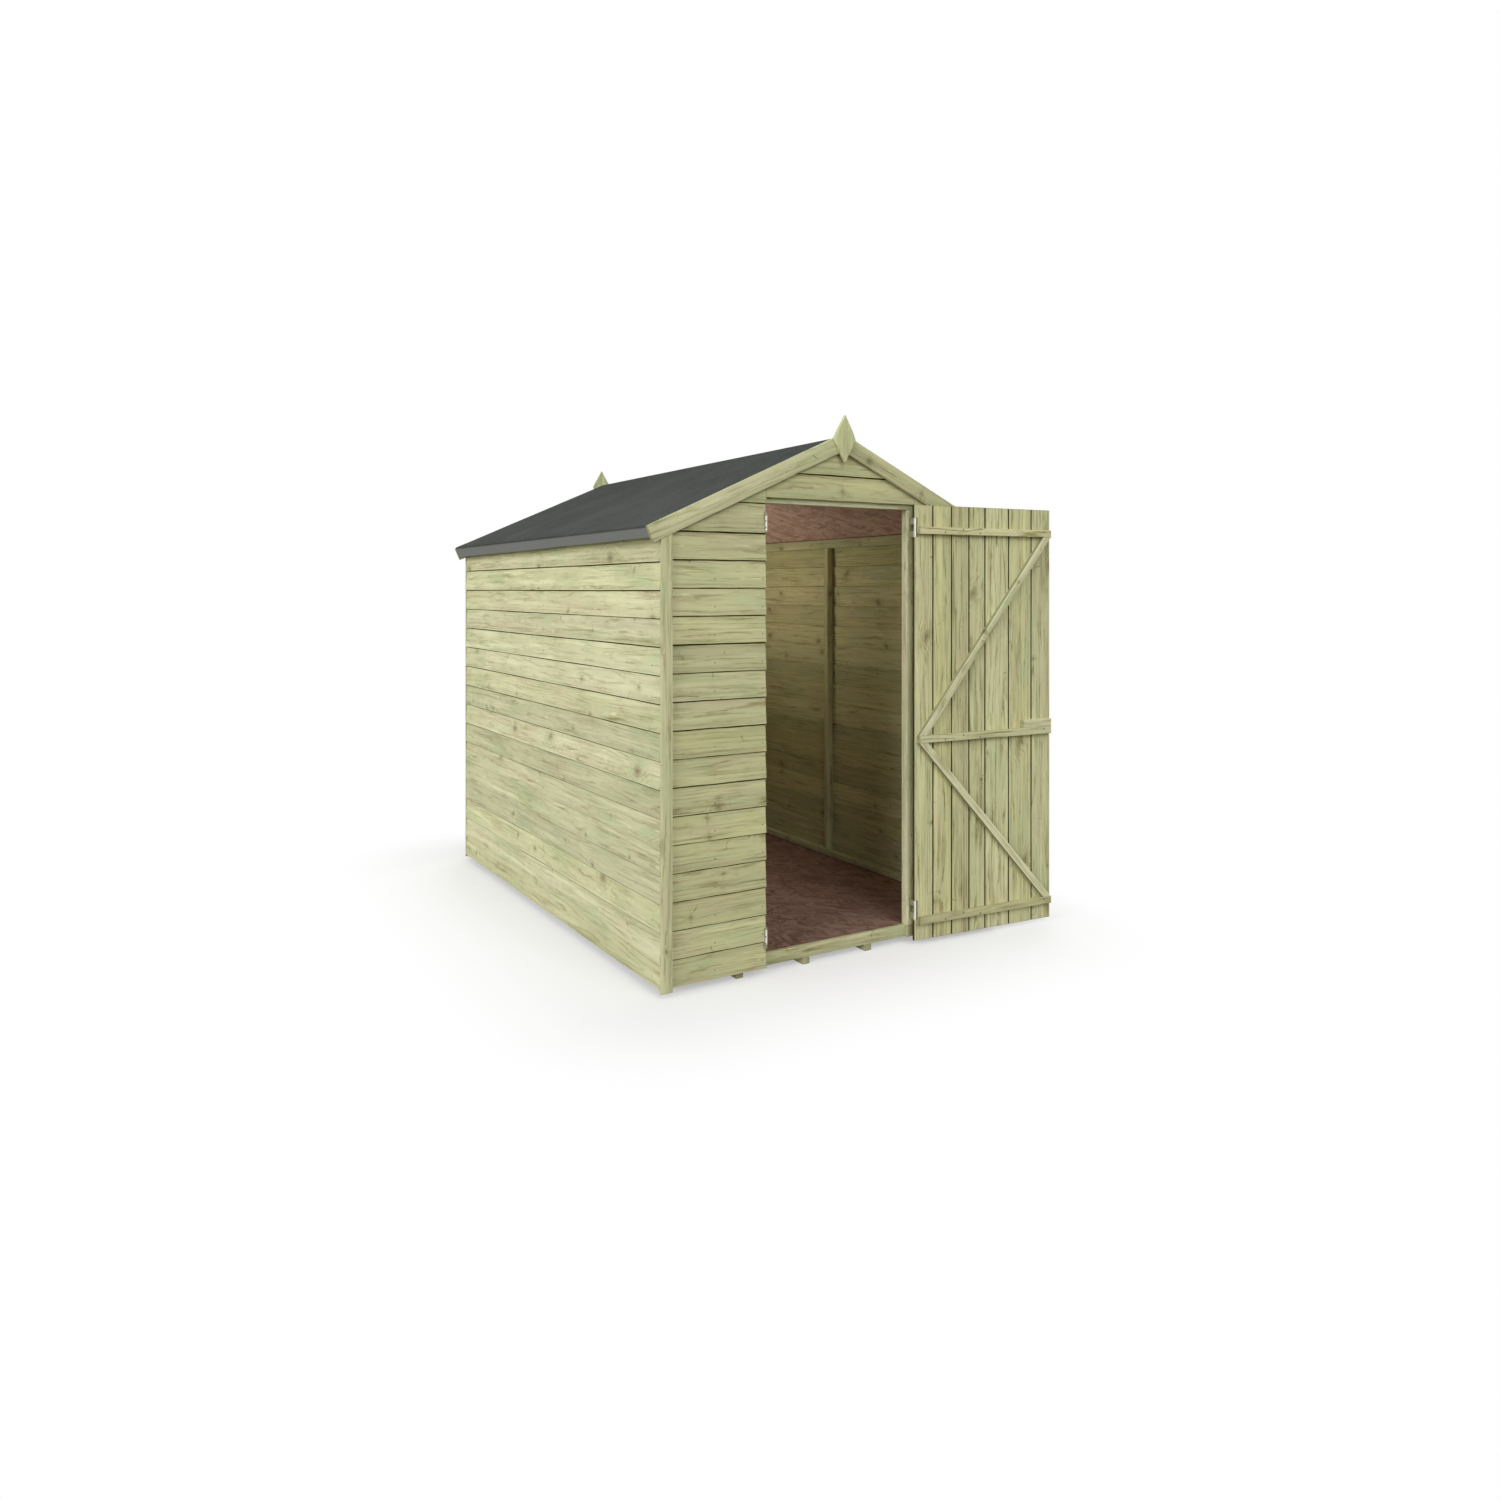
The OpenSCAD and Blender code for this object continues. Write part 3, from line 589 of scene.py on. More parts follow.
def pin_side_highlight(place, smear):
    """One on the sides of the knuckles and of the hinge arms that face the doorway: a painted highlight, the
    rest dulled.
    """
    x, y, _ = place
    side = x - PIN[0] + (smear - 0.5) * 0.001
    away = (side * side + (y - PIN[1]) * (y - PIN[1])).root()
    arm = side.fall(0.0014, 0.0024) * away.band(0.0046, 0.0056) * away.fall(0.0110, 0.0120)
    knuckle = side.fall(-0.0014, -0.0004) * away.fall(0.0050, 0.0060)
    return arm.greater(knuckle)


def plate_bright_strip(place, smear):
    """One on the part of a jamb plate beside the doorway and below its upper end, where the plate shows
    bright zinc.
    """
    x, _, z = place
    low, high = HINGE_HEIGHTS
    lift = abs(z - (low + high) / 2) - (high - low) / 2
    ends = abs(lift + 0.004 + (smear - 0.5) * 0.02).fall(0.026, 0.028)
    return x.band(CLAD_LEFT - 0.0062, CLAD_LEFT - 0.0052) * ends


def timber_named(name, context):
    """The named timber, made once."""
    found = bpy.data.materials.get(name)
    return found or timber_material(name, context.scene.shed_timber, TIMBERS[name])


def finish_node(node, material):
    """Gives a carried-over CAD node its material."""
    materials = frame["nodes"][node].data.materials
    materials.clear()
    materials.append(material)


def roof_z(x, depth):
    """Height of the surface a depth below the roof's top, falling from the ridge at the pitch."""
    return RIDGE - np.abs(x) * math.tan(PITCH) - depth / math.cos(PITCH)


def roof_x(z, depth):
    """Distance from the ridge at which that surface has a height."""
    return (RIDGE - depth / math.cos(PITCH) - z) / math.tan(PITCH)


def off_slope(pitch):
    """Unit normal of a roof slope that falls to the right at a pitch."""
    return np.array([math.sin(pitch), 0.0, math.cos(pitch)])


def joined(*parts):
    """Arrays spread to one shape and joined as the coordinates of points."""
    return np.stack(np.broadcast_arrays(*parts), axis=-1)


def eased(corners, arris):
    """Outline with each corner replaced by three points of a parabola that starts and ends one arris away."""
    corners = np.asarray(corners, float)
    back = np.roll(corners, 1, axis=0) - corners
    on = np.roll(corners, -1, axis=0) - corners
    first = corners + arris * back / np.linalg.norm(back, axis=1, keepdims=True)
    last = corners + arris * on / np.linalg.norm(on, axis=1, keepdims=True)
    middle = 0.25 * first + 0.5 * corners + 0.25 * last
    return np.stack([first, middle, last], axis=1).reshape(-1, 2)


def eased_box(width, depth, arris):
    """Outline of a rectangle about its centre, with eased corners."""
    half = np.array([width, depth]) / 2
    return eased(half * np.array([[1, 1], [-1, 1], [-1, -1], [1, -1]]), arris)


def waves(rng, along, size, reach):
    """Sum of three sines of random length and phase, nil at both ends of the reach."""
    turns = rng.uniform(0.6, 3.4, 3)[:, None, None]
    phase = rng.uniform(0.0, 2.0 * math.pi, 3)[:, None, None]
    share = np.clip(along / reach, 0.0, 1.0)
    wave = np.sin(2.0 * math.pi * turns * share + phase).sum(axis=0) / 3.0
    return size * wave * np.sin(math.pi * share)


def block(points, wood, marks, edge=(1.0, 1.0, 1.0)):
    """A closed tube of stations by section points, with timber lengths, marks and edge distances."""
    shape = points.shape
    return points, np.broadcast_to(wood, shape), np.broadcast_to(marks, shape), np.broadcast_to(edge, shape)


def marks_of(rng, hue=(0.55, 1.0), tone=(0.0, 1.0)):
    """Random tone and hue within their ranges, and seed of one board."""
    return np.array([rng.uniform(*tone), rng.uniform(*hue), rng.uniform(0.0, 1.0)])


def bar(start, end, across, section, seed, cut_start=None, cut_end=None, hue=(0.4, 0.9), tone=(0.0, 1.0)):
    """A section carried along a line: each of its points runs between two cutting planes through the ends."""
    start, end = np.asarray(start, float), np.asarray(end, float)
    reach = np.linalg.norm(end - start)
    run = (end - start) / reach
    across = across - run * np.dot(across, run)
    across = across / np.linalg.norm(across)
    rise = np.cross(run, across)
    x, y = section[:, 0], section[:, 1]

    def offset(normal):
        """Distance along the run from an end's middle to its cutting plane, at each section point."""
        return -(x * np.dot(across, normal) + y * np.dot(rise, normal)) / np.dot(run, normal)

    rng = np.random.default_rng(seed)
    rng.uniform(size=DRAWS_PASSED_OVER)
    stations = np.linspace(0.0, 1.0, max(3, int(reach / BAR_SPACING) + 1))[:, None]
    first = offset(run if cut_start is None else cut_start)
    last = reach + offset(run if cut_end is None else cut_end)
    along = first + (last - first) * stations
    points = start + along[..., None] * run + x[:, None] * across + y[:, None] * rise
    wide, deep = (x, y) if np.ptp(x) >= np.ptp(y) else (y, x)
    wood = joined(along + rng.uniform(0, GRAIN_RANGE), wide, deep)
    from_end = np.minimum(along - first, last - along)
    return block(points, wood, marks_of(rng, hue, tone), joined(1.0, 1.0, from_end))


def upright(x, y, low, high, section, seed, **more):
    """A bar that stands at a point of the plan."""
    return bar((x, y, low), (x, y, high), EAST, section, seed, **more)


def lengthways(x, half, z, section, seed):
    """A level bar along Y that reaches a half length either way."""
    return bar((x, -half, z), (x, half, z), EAST, section, seed)


def boxed_bars(boxes, along, arris, seed):
    """Bars that fill the given boxes, running along one axis."""
    wide, deep = ((1, 2), (0, 2), (0, 1))[along]
    made = []
    for k, corners in enumerate(boxes):
        low, high = np.asarray(corners, float)
        start = (low + high) / 2
        end = start.copy()
        start[along], end[along] = low[along], high[along]
        section = eased_box(high[wide] - low[wide], high[deep] - low[deep], arris)
        made.append(bar(start, end, np.eye(3)[wide], section, seed + k))
    return made


def moved(blocks, change):
    """The same blocks with their points changed by a function of the whole array."""
    return [(change(one[0]), *one[1:]) for one in blocks]


def turned(blocks, flip):
    """The same blocks turned over to another side."""
    return moved(blocks, lambda points: points * flip)


def both_sides(right, left):
    """A block of the right side, and another turned over to the left side."""
    return [right, *turned([left], FLIP_X)]


def ring_faces(rings, corners):
    """Quads between neighbouring rings of points, and one many-sided cap at each end."""
    index = np.arange(rings * corners).reshape(rings, corners)
    near, far = index[:-1], index[1:]
    quads = np.stack([near, np.roll(near, -1, 1), np.roll(far, -1, 1), far], axis=-1).reshape(-1, 4)
    return quads, np.stack([index[0][::-1], index[-1]])


def tube_faces(points):
    """Faces of a tube of rings, turned outwards by the sign of the volume that they hold."""
    quads, caps = ring_faces(*points.shape[:2])
    flat = points.reshape(-1, 3)
    flat = flat - flat.mean(axis=0)
    a, b, c, d = (flat[quads[:, k]] for k in range(4))
    volume = np.einsum("ij,ij->", a, np.cross(b, c)) + np.einsum("ij,ij->", a, np.cross(c, d))
    return (quads, caps) if volume > 0 else (quads[:, ::-1], caps[:, ::-1])


def in_scene(name, data):
    """A new object in the scene."""
    made = bpy.data.objects.new(name, data)
    bpy.context.scene.collection.objects.link(made)
    return made


def mesh_object(name, points, faces, layers, material, crease):
    """A mesh with its timber lengths, marks and edge distances, smooth except over the crease angle."""
    mesh = bpy.data.meshes.new(name)
    mesh.from_pydata(points.tolist(), [], faces)
    for label, data in zip(("wood", "board", "edge"), layers):
        layer = mesh.attributes.new(label, "FLOAT_VECTOR", "POINT")
        layer.data.foreach_set("vector", np.ascontiguousarray(data, np.float32).ravel())
    mesh.polygons.foreach_set("use_smooth", np.ones(len(mesh.polygons), bool))
    mesh.set_sharp_from_angle(angle=crease)
    mesh.materials.append(material)
    mesh.validate()
    return in_scene(name, mesh)


def piece(name, blocks, material, node, body="shed"):
    """One object from many blocks, riding on a body and standing for a CAD node."""
    faces, base = [], 0
    for one in blocks:
        quads, caps = tube_faces(one[0])
        faces += (quads + base).tolist() + (caps + base).tolist()
        base += one[0].shape[0] * one[0].shape[1]
    points, *layers = (np.concatenate([one[k].reshape(-1, 3) for one in blocks]) for k in range(4))
    made = mesh_object(name, points, faces, layers, material, BOARD_CREASE)
    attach(made, body)
    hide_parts(node)


def heads(name, places, facing, radius, rise, material, body="shed"):
    """Nail or screw heads: at each place the profile of a low dome turned about the facing, closed below."""
    sides = 10
    dome = np.array([(1.0, -0.6), (1.0, 0.55), (0.72, 0.90), (0.30, 1.0)])
    places = np.asarray(places, float)
    helper = EAST if abs(facing[2]) > 0.7 else UP
    right = np.cross(helper, facing)
    right /= np.linalg.norm(right)
    over = np.cross(facing, right)
    turn = np.linspace(0.0, 2.0 * math.pi, sides, endpoint=False)
    out = (radius * dome[:, :1] * np.cos(turn)).ravel()
    up = (radius * dome[:, :1] * np.sin(turn)).ravel()
    lift = np.repeat(rise * dome[:, 1], sides)
    points = places[:, None] + out[:, None] * right + up[:, None] * over + lift[:, None] * facing
    quads, caps = ring_faces(len(dome), sides)
    base = (np.arange(len(places)) * len(dome) * sides)[:, None, None]
    faces = (quads + base).reshape(-1, 4).tolist() + (caps + base).reshape(-1, sides).tolist()
    made = mesh_object(name, points.reshape(-1, 3), faces, (), material, HEAD_CREASE)
    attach(made, body)


def lap_heights(timber, limit, step):
    """Lower edges of the wall boards, one step apart above the first board."""
    first = WALL_LOW + timber.first_board
    return [WALL_LOW, *np.arange(first, limit - timber.board_cover, step)]


def end_heights(timber):
    """Lower edges of an end wall's boards: wall boards, then the deeper gable boards."""
    wall = lap_heights(timber, GABLE_LOW - timber.end_step / 2, timber.end_step)
    gable = np.arange(GABLE_LOW, roof_z(0.0, ROOF_DEPTH) - timber.board_cover, GABLE_STEP)
    return wall, list(gable)


def lapped_rows(timber, laps, peak):
    """Lower and upper edge of each board: up behind the next board by the cover, and the last to the peak."""
    tops = [low + timber.board_cover for low in laps[1:]]
    return list(zip(laps, [*tops, peak]))


def clad_board(timber, low, top, ends, seed, hue, cut_low=None, cut_top=None):
    """A leaning board: a rounded section run between ends that are functions of height."""
    cup_most, cup_wave, dip_most, low_clear = 0.0011, 0.0008, 0.0008, 0.0024
    rng = np.random.default_rng(seed)
    start = low if cut_low is None else cut_low
    stop = top if cut_top is None else cut_top
    thick, edge = timber.board_thick, timber.board_edge
    soft = 0.3 * edge
    rest = np.linspace(start, stop, 5)[1:]
    foot = [start + edge, start + soft, start, start, start + soft, start + edge]
    height = np.concatenate([foot, rest, rest[::-1]])
    round_foot = [thick, thick - soft, thick - edge, edge, soft, 0.0]
    from_back = np.concatenate([round_foot, 0.0 * rest, 0.0 * rest + thick])
    share = (height - low) / (top - low)
    offset = CLAD_DEPTH - thick + from_back - CLAD_DEPTH / 2 * share
    first, last = ends[0](height), ends[1](height)
    along = first + (last - first) * np.linspace(0.0, 1.0, 30)[:, None]
    reach = float(np.max(last) - np.min(first))
    run = along - np.min(first)
    cup = (rng.uniform(0.0, cup_most) + waves(rng, run, cup_wave, reach)) * (1.0 - share)
    dip = waves(rng, run, timber.bow, reach) + rng.uniform(-dip_most, dip_most)
    points = joined(along, offset + cup, height + dip)
    wood = joined(along + rng.uniform(0, GRAIN_RANGE), height - (low + top) / 2, from_back)
    # Distances for the timber's painted highlight just above the lower edge and its painted shade under the
    # next board up
    under = np.where(from_back > thick / 2, top - timber.board_cover - height, 1.0)
    from_end = np.minimum(along - first, last - along)
    return block(points, wood, marks_of(rng, hue), joined(height - start + low_clear, under, from_end))


def on_side(sign):
    """Sets boards on a side wall: along Y, out in X."""
    return lambda p: np.stack([sign * (FRAME_X + p[..., 1]), p[..., 0], p[..., 2]], axis=-1)


def on_end(sign):
    """Sets boards on an end wall: along X, out in Y."""
    return lambda p: np.stack([p[..., 0], sign * (FRAME_Y + p[..., 1]), p[..., 2]], axis=-1)


def flat_end(value):
    """End of a board at one place for every height."""
    return lambda height: np.full_like(height, value)


def gable_end(sign, limit):
    """End of a board under the roof: the lesser of a limit and the distance to the slope."""
    return lambda height: sign * np.minimum(limit, roof_x(height, ROOF_DEPTH + SEAT))


def wall_boards(timber, rows, ends, seed, hue, place):
    """One board for each row, set on its wall."""
    boards = [clad_board(timber, low, top, ends, seed + k, hue) for k, (low, top) in enumerate(rows)]
    return moved(boards, place)


class SHED_OT_cladding(Operator):
    """Makes the overlapping boards of all the walls"""
    bl_idname = "shed.cladding"
    bl_label = "Cladding"

    def execute(self, context):
        timber = context.scene.shed_timber
        material = timber_named("wall_timber", context)
        rows = lapped_rows(timber, lap_heights(timber, SIDE_TOP, timber.board_step), SIDE_TOP)
        ends = (flat_end(-WALL_Y), flat_end(WALL_Y))
        for name, sign, hue in (("left", -1.0, PALE_HUES), ("right", 1.0, HONEY_HUES)):
            boards = wall_boards(timber, rows, ends, SEEDS[name], hue, on_side(sign))
            piece(name + "_boards", boards, material, name + "_cladding")
        self.end_walls(timber, material)
        return {"FINISHED"}

    def end_walls(self, timber, material):
        """Boards of the two end walls, those of the front split round the doorway."""
        wall, gable = end_heights(timber)
        rows = lapped_rows(timber, wall + gable, roof_z(0.0, ROOF_DEPTH) - SHORT)
        wall_rows, gable_rows = rows[:len(wall)], rows[len(wall):]
        limit = FRAME_X - GAP
        full = (gable_end(-1.0, limit), gable_end(1.0, limit))
        left = (full[0], flat_end(CLAD_LEFT))
        right = (flat_end(CLAD_RIGHT), full[1])
        middle = (gable_end(-1.0, -CLAD_LEFT), gable_end(1.0, CLAD_RIGHT))
        front = on_end(-1.0)
        walls = (
            ("back", rows, full, on_end(1.0)),
            ("front_left", wall_rows, left, front),
            ("front_right", wall_rows, right, front),
        )
        for name, part, ends, place in walls:
            boards = wall_boards(timber, part, ends, SEEDS[name], HONEY_HUES, place)
            piece(name + "_boards", boards, material, name + "_cladding")
        stops = [float(roof_z(x, ROOF_DEPTH + SEAT)) - SHORT for x in (CLAD_LEFT, CLAD_RIGHT)]
        pieces = ((left, None, stops[0]), (right, None, stops[1]), (middle, HEAD + HEAD_REVEAL, None))
        split = [clad_board(timber, *gable_rows[0], ends, SEEDS["over_door"], HONEY_HUES, cut_low, cut_top)
                 for ends, cut_low, cut_top in pieces]
        above = wall_boards(timber, gable_rows[1:], full, SEEDS["gable"], HONEY_HUES, front)
        piece("front_gable_boards", moved(split, front) + above, material, "front_gable_cladding")


class SHED_OT_framing(Operator):
    """Makes the studs, rails, posts and rafters inside the walls"""
    bl_idname = "shed.framing"
    bl_label = "Framing"

    def execute(self, context):
        timber = context.scene.shed_timber
        framing = timber_named("sawn_framing", context)
        inner = FRAME_X - FRAME_DEPTH
        middle = FRAME_X - FRAME_DEPTH / 2
        high = roof_z(FRAME_X, ROOF_DEPTH)
        rail_low = high - STUD
        outline = [(inner, rail_low), (FRAME_X, rail_low), (FRAME_X, high),
                   (inner, roof_z(inner, ROOF_DEPTH))]
        outline = (np.array(outline) - (middle, rail_low)) * (1.0, -1.0)
        high_section = eased(outline, timber.arris)
        section = eased_box(FRAME_DEPTH, STUD, timber.arris)
        half = FRAME_Y - FRAME_DEPTH
        for side, (name, flip) in enumerate(HANDS):
            low_rail = lengthways(middle, half, FLOOR_TOP + STUD / 2, section, SEEDS["low_rail"] + side)
            high_rail = lengthways(middle, half, rail_low, high_section, SEEDS["high_rail"] + side)
            first = SEEDS["side_stud"] + 10 * side
            studs = [upright(middle, y, FLOOR_TOP + STUD, rail_low, section, first + k)
                     for k, y in enumerate(SIDE_STUDS)]
            rails = turned([low_rail, high_rail], flip)
            piece(name + "_rails", rails, framing, name + "_wall_rails")
            piece(name + "_studs", turned(studs, flip), framing, name + "_wall_studs")
        self.end_frames(timber, framing, timber_named("treated_boards", context))
        return {"FINISHED"}

    def end_frames(self, timber, framing, boards):
        """Framing of the two end walls, made at the front and turned round for the back."""
        flat = eased_box(STUD, FRAME_DEPTH, timber.arris)
        slope = off_slope(PITCH)
        under_rafter = ROOF_DEPTH + STUD + SEAT
        y = -FRAME_Y + FRAME_DEPTH / 2
        corner = FRAME_X - STUD / 2
        top = roof_z(corner, under_rafter)
        studs = [upright(corner, y, FLOOR_TOP, top, flat, SEEDS["end_stud"] + k, cut_end=slope)
                 for k in range(4)]
        back_stud = upright(0.0, y, FLOOR_TOP + STUD, HEAD, flat, SEEDS["back_stud"])
        head_z = HEAD + STUD / 2
        head_x = roof_x(head_z, under_rafter)
        # Paler head rails: painted light on the lintel against the shade under the gable boards
        head_rails = [bar((-head_x, y, head_z), (head_x, y, head_z), UP, flat, SEEDS["head"] + k,
                          cut_start=slope * FLIP_X, cut_end=slope, hue=LIT_HEAD_HUES) for k in range(2)]
        mid = ROOF_DEPTH + STUD / 2
        rafter = eased_box(FRAME_DEPTH, STUD, timber.arris)
        rafters = [bar((GAP, y, roof_z(GAP, mid)), (FRAME_X, y, roof_z(FRAME_X, mid)), NORTH, rafter,
                       SEEDS["rafter"] + k, cut_start=EAST, cut_end=EAST) for k in range(4)]
        inside = FRAME_X - STUD
        beside = DOORWAY + POST_WIDTH
        sole_z = FLOOR_TOP + STUD / 2
        spans = ((-inside, -beside), (beside, inside), (-inside, inside))
        soles = [bar((start, y, sole_z), (end, y, sole_z), UP, flat, SEEDS["sole"] + k)
                 for k, (start, end) in enumerate(spans)]
        post = eased_box(POST_WIDTH, FRAME_DEPTH, timber.arris)
        post_x = DOORWAY + POST_WIDTH / 2
        # The posts take pale, light marks: painted light against the shade in the doorway
        left_post = upright(-post_x, y, FLOOR_TOP, HEAD, post, SEEDS["left_post"], **PALE_AND_LIT)
        right_post = upright(post_x, y, FLOOR_TOP, HEAD, post, SEEDS["right_post"], **PALE_AND_LIT)
        toe = upright(post_x, -FRAME_Y + TOE_DEPTH / 2, TOE_LOW, FLOOR_TOP,
                      eased_box(POST_WIDTH, TOE_DEPTH, timber.arris), SEEDS["right_post"])
        inner_frame = (
            ("front_studs", both_sides(*studs[:2]), "front_wall_studs"),
            ("back_studs", turned([*both_sides(*studs[2:]), back_stud], FLIP_Y), "back_wall_studs"),
            ("front_rails", soles[:2], "front_wall_rails"),
            ("back_rails", turned([soles[2], head_rails[1]], FLIP_Y), "back_wall_rails"),
            ("rafters", both_sides(*rafters[:2]) + turned(both_sides(*rafters[2:]), FLIP_Y), "gable_rafters"),
        )
        for name, blocks, node in inner_frame:
            piece(name, blocks, framing, node)
        door_frame = (
            ("lintel", head_rails[:1], "door_lintel"),
            ("left_post", [left_post], "left_door_post"),
            ("right_post", [right_post, toe], "right_door_post"),
        )
        for name, blocks, node in door_frame:
            piece(name, blocks, boards, node)


class SHED_OT_floor(Operator):
    """Makes the bearers, joists and edge boards, and finishes the floor sheet"""
    bl_idname = "shed.floor"
    bl_label = "Floor"

    def execute(self, context):
        timber, roof = context.scene.shed_timber, context.scene.shed_roof
        framing = timber_named("sawn_framing", context)
        low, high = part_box("floor_bearers")
        boxes = [((x, low.y, low.z), (x + BEARER_WIDTH, high.y, high.z))
                 for x in np.linspace(low.x, high.x - BEARER_WIDTH, 4)]
        bearers = boxed_bars(boxes, 1, timber.arris, SEEDS["bearer"])
        piece("bearers", bearers, framing, "floor_bearers")
        low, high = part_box("floor_joists")
        boxes = [((low.x, y, low.z), (high.x, y + STUD, high.z))
                 for y in np.linspace(low.y, high.y - STUD, 5)]
        joists = boxed_bars(boxes, 0, timber.arris, SEEDS["joist"])
        piece("joists", joists, framing, "floor_joists")
        for k, node in enumerate(("threshold_board", "back_edge_board")):
            board = boxed_bars([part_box(node)], 0, timber.arris, SEEDS["edge_board"] + k)
            piece(node + "_timber", board, timber_named("treated_boards", context), node)
        finish_node("floor_sheet", strand_material("floor_strands", roof.floor_pale, roof.floor_dark))
        return {"FINISHED"}


def felt_block(roof, seed):
    """Felt on the right slope: a thin line down the slope and over the eaves, carried along Y."""
    bend, lines, hem_wave, flutter_size = 0.004, 26, 0.0022, 0.0016
    thick = roof.felt_thick
    rng = np.random.default_rng(seed)
    slope = EAVES_X / math.cos(PITCH)
    turn = np.linspace(0.3, 1.57, 4)
    y = np.linspace(-WALL_Y, WALL_Y, 60)[:, None]
    run, reach = y + WALL_Y, 2.0 * WALL_Y
    drop = roof.hem_front + (roof.hem_back - roof.hem_front) * run / reach + waves(rng, run, hem_wave, reach)
    hang = bend + (drop - bend) * np.linspace(0.15, 1.0, 6)
    along = np.concatenate([np.linspace(0.0, slope - bend, lines), slope + bend * (np.sin(turn) - 1.0)])
    below = np.concatenate([np.zeros(lines), bend * (1.0 - np.cos(turn))])
    outer_s = np.concatenate([along + 0.0 * y, slope + 0.0 * hang], axis=1)
    outer_n = np.concatenate([below + 0.0 * y, hang], axis=1)
    path_s = np.concatenate([outer_s, np.minimum(outer_s, slope - thick)[:, ::-1]], axis=1)
    path_n = np.concatenate([outer_n, np.maximum(outer_n, thick)[:, ::-1]], axis=1)
    # Ripples are a product of two sines and a third one, faded out at the ridge and the eaves
    fade = np.clip(path_s / 0.15, 0.0, 1.0) * np.clip((slope - path_s) / 0.08, 0.0, 1.0)
    broad = np.sin(9.0 * y + 5.0 * path_s + 1.0) * np.sin(4.0 * y - 11.0 * path_s)
    ripple = broad + 0.6 * np.sin(23.0 * y + 3.0 * path_s)
    flutter = waves(rng, run, flutter_size, reach) * np.clip(path_n / 0.04, 0.0, 1.0)
    path_n = path_n + roof.ripple * 0.25 * (ripple + 1.2) * fade
    path_s = path_s + flutter * (path_n > 2.0 * bend)
    x = path_s * math.cos(PITCH) - path_n * math.sin(PITCH)
    z = RIDGE - path_s * math.sin(PITCH) - path_n * math.cos(PITCH)
    points = joined(np.maximum(x, 0.0), y, z)
    hem = np.clip((path_n - bend) / 0.003, 0.0, 1.0) * (path_s > slope - 0.5 * bend - thick)
    return block(points, points, joined(hem, 0.0, 0.0))


class SHED_OT_roof(Operator):
    """Makes the felt, ridge beam and eaves rails, and finishes the roof sheets"""
    bl_idname = "shed.roof"
    bl_label = "Roof"

    def execute(self, context):
        timber, roof = context.scene.shed_timber, context.scene.shed_roof
        framing = timber_named("sawn_framing", context)
        felt = felt_material("mineral_felt", roof)
        strands = strand_material("roof_strands", roof.strand_pale, roof.strand_dark)
        for side, (name, flip) in enumerate(HANDS):
            cover = turned([felt_block(roof, SEEDS["felt"] + side)], flip)
            piece(name + "_felt", cover, felt, name + "_roof_felt")
            finish_node(name + "_roof_sheet", strands)
        low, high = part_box("ridge_beam")
        half = high.x
        shoulder = low.z - roof_z(half, ROOF_DEPTH)
        outline = [(-half, 0.0), (half, 0.0), (half, shoulder), (0.0, low.z - high.z), (-half, shoulder)]
        beam = lengthways(0.0, high.y, low.z, eased(outline, timber.arris), SEEDS["ridge"])
        piece("ridge_timber", [beam], framing, "ridge_beam")
        down = np.array([math.cos(PITCH), 0.0, -math.sin(PITCH)])
        from_ridge = EAVES_X / math.cos(PITCH) - roof.felt_thick - SEAT - EAVES_RAIL_WIDTH / 2
        depth = (EAVES_RAIL_DEPTH + ROOF_DEPTH) / 2
        middle = RIDGE * UP + from_ridge * down - depth * off_slope(PITCH)
        section = eased_box(EAVES_RAIL_WIDTH, EAVES_RAIL_DEPTH - ROOF_DEPTH, timber.arris)
        rails = [bar(middle - WALL_Y * NORTH, middle + WALL_Y * NORTH, down, section, SEEDS["eaves"] + k)
                 for k in range(2)]
        piece("eaves_timber", both_sides(*rails), framing, "eaves_rails")
        return {"FINISHED"}


def kite(seed):
    """Finial: at each height a flat-backed section as wide as the kite, its face sloping off."""
    tip, rim, arris = 0.0008, 0.5, 0.0012
    low, high = FINIAL_LOW, FINIAL_HIGH
    half, depth = (high.x - low.x) / 2, high.y - low.y
    waist = high.z - KITE_WAIST
    z = np.concatenate([np.linspace(low.z, waist, 14), np.linspace(waist, high.z, 15)[1:]])[:, None]
    wide = half * np.minimum((z - low.z) / (waist - low.z), (high.z - z) / (high.z - waist))
    wide = np.maximum(wide, tip)
    share = np.linspace(-1.0, 1.0, 17)
    face = wide * share
    fall = np.clip((np.abs(face) - KITE_FLAT) / (half - KITE_FLAT), 0.0, 1.0)
    edge = arris * np.clip((np.abs(share) - 0.93) / 0.07, 0.0, 1.0)
    front = depth * (1.0 - rim * fall) - edge
    x = np.concatenate([face, wide, -wide], axis=1)
    y = high.y - np.concatenate([front, 0.0 * wide, 0.0 * wide], axis=1)
    return block(joined(x, y, z), joined(z + 3.0 * seed, x, y), marks_of(np.random.default_rng(seed)))


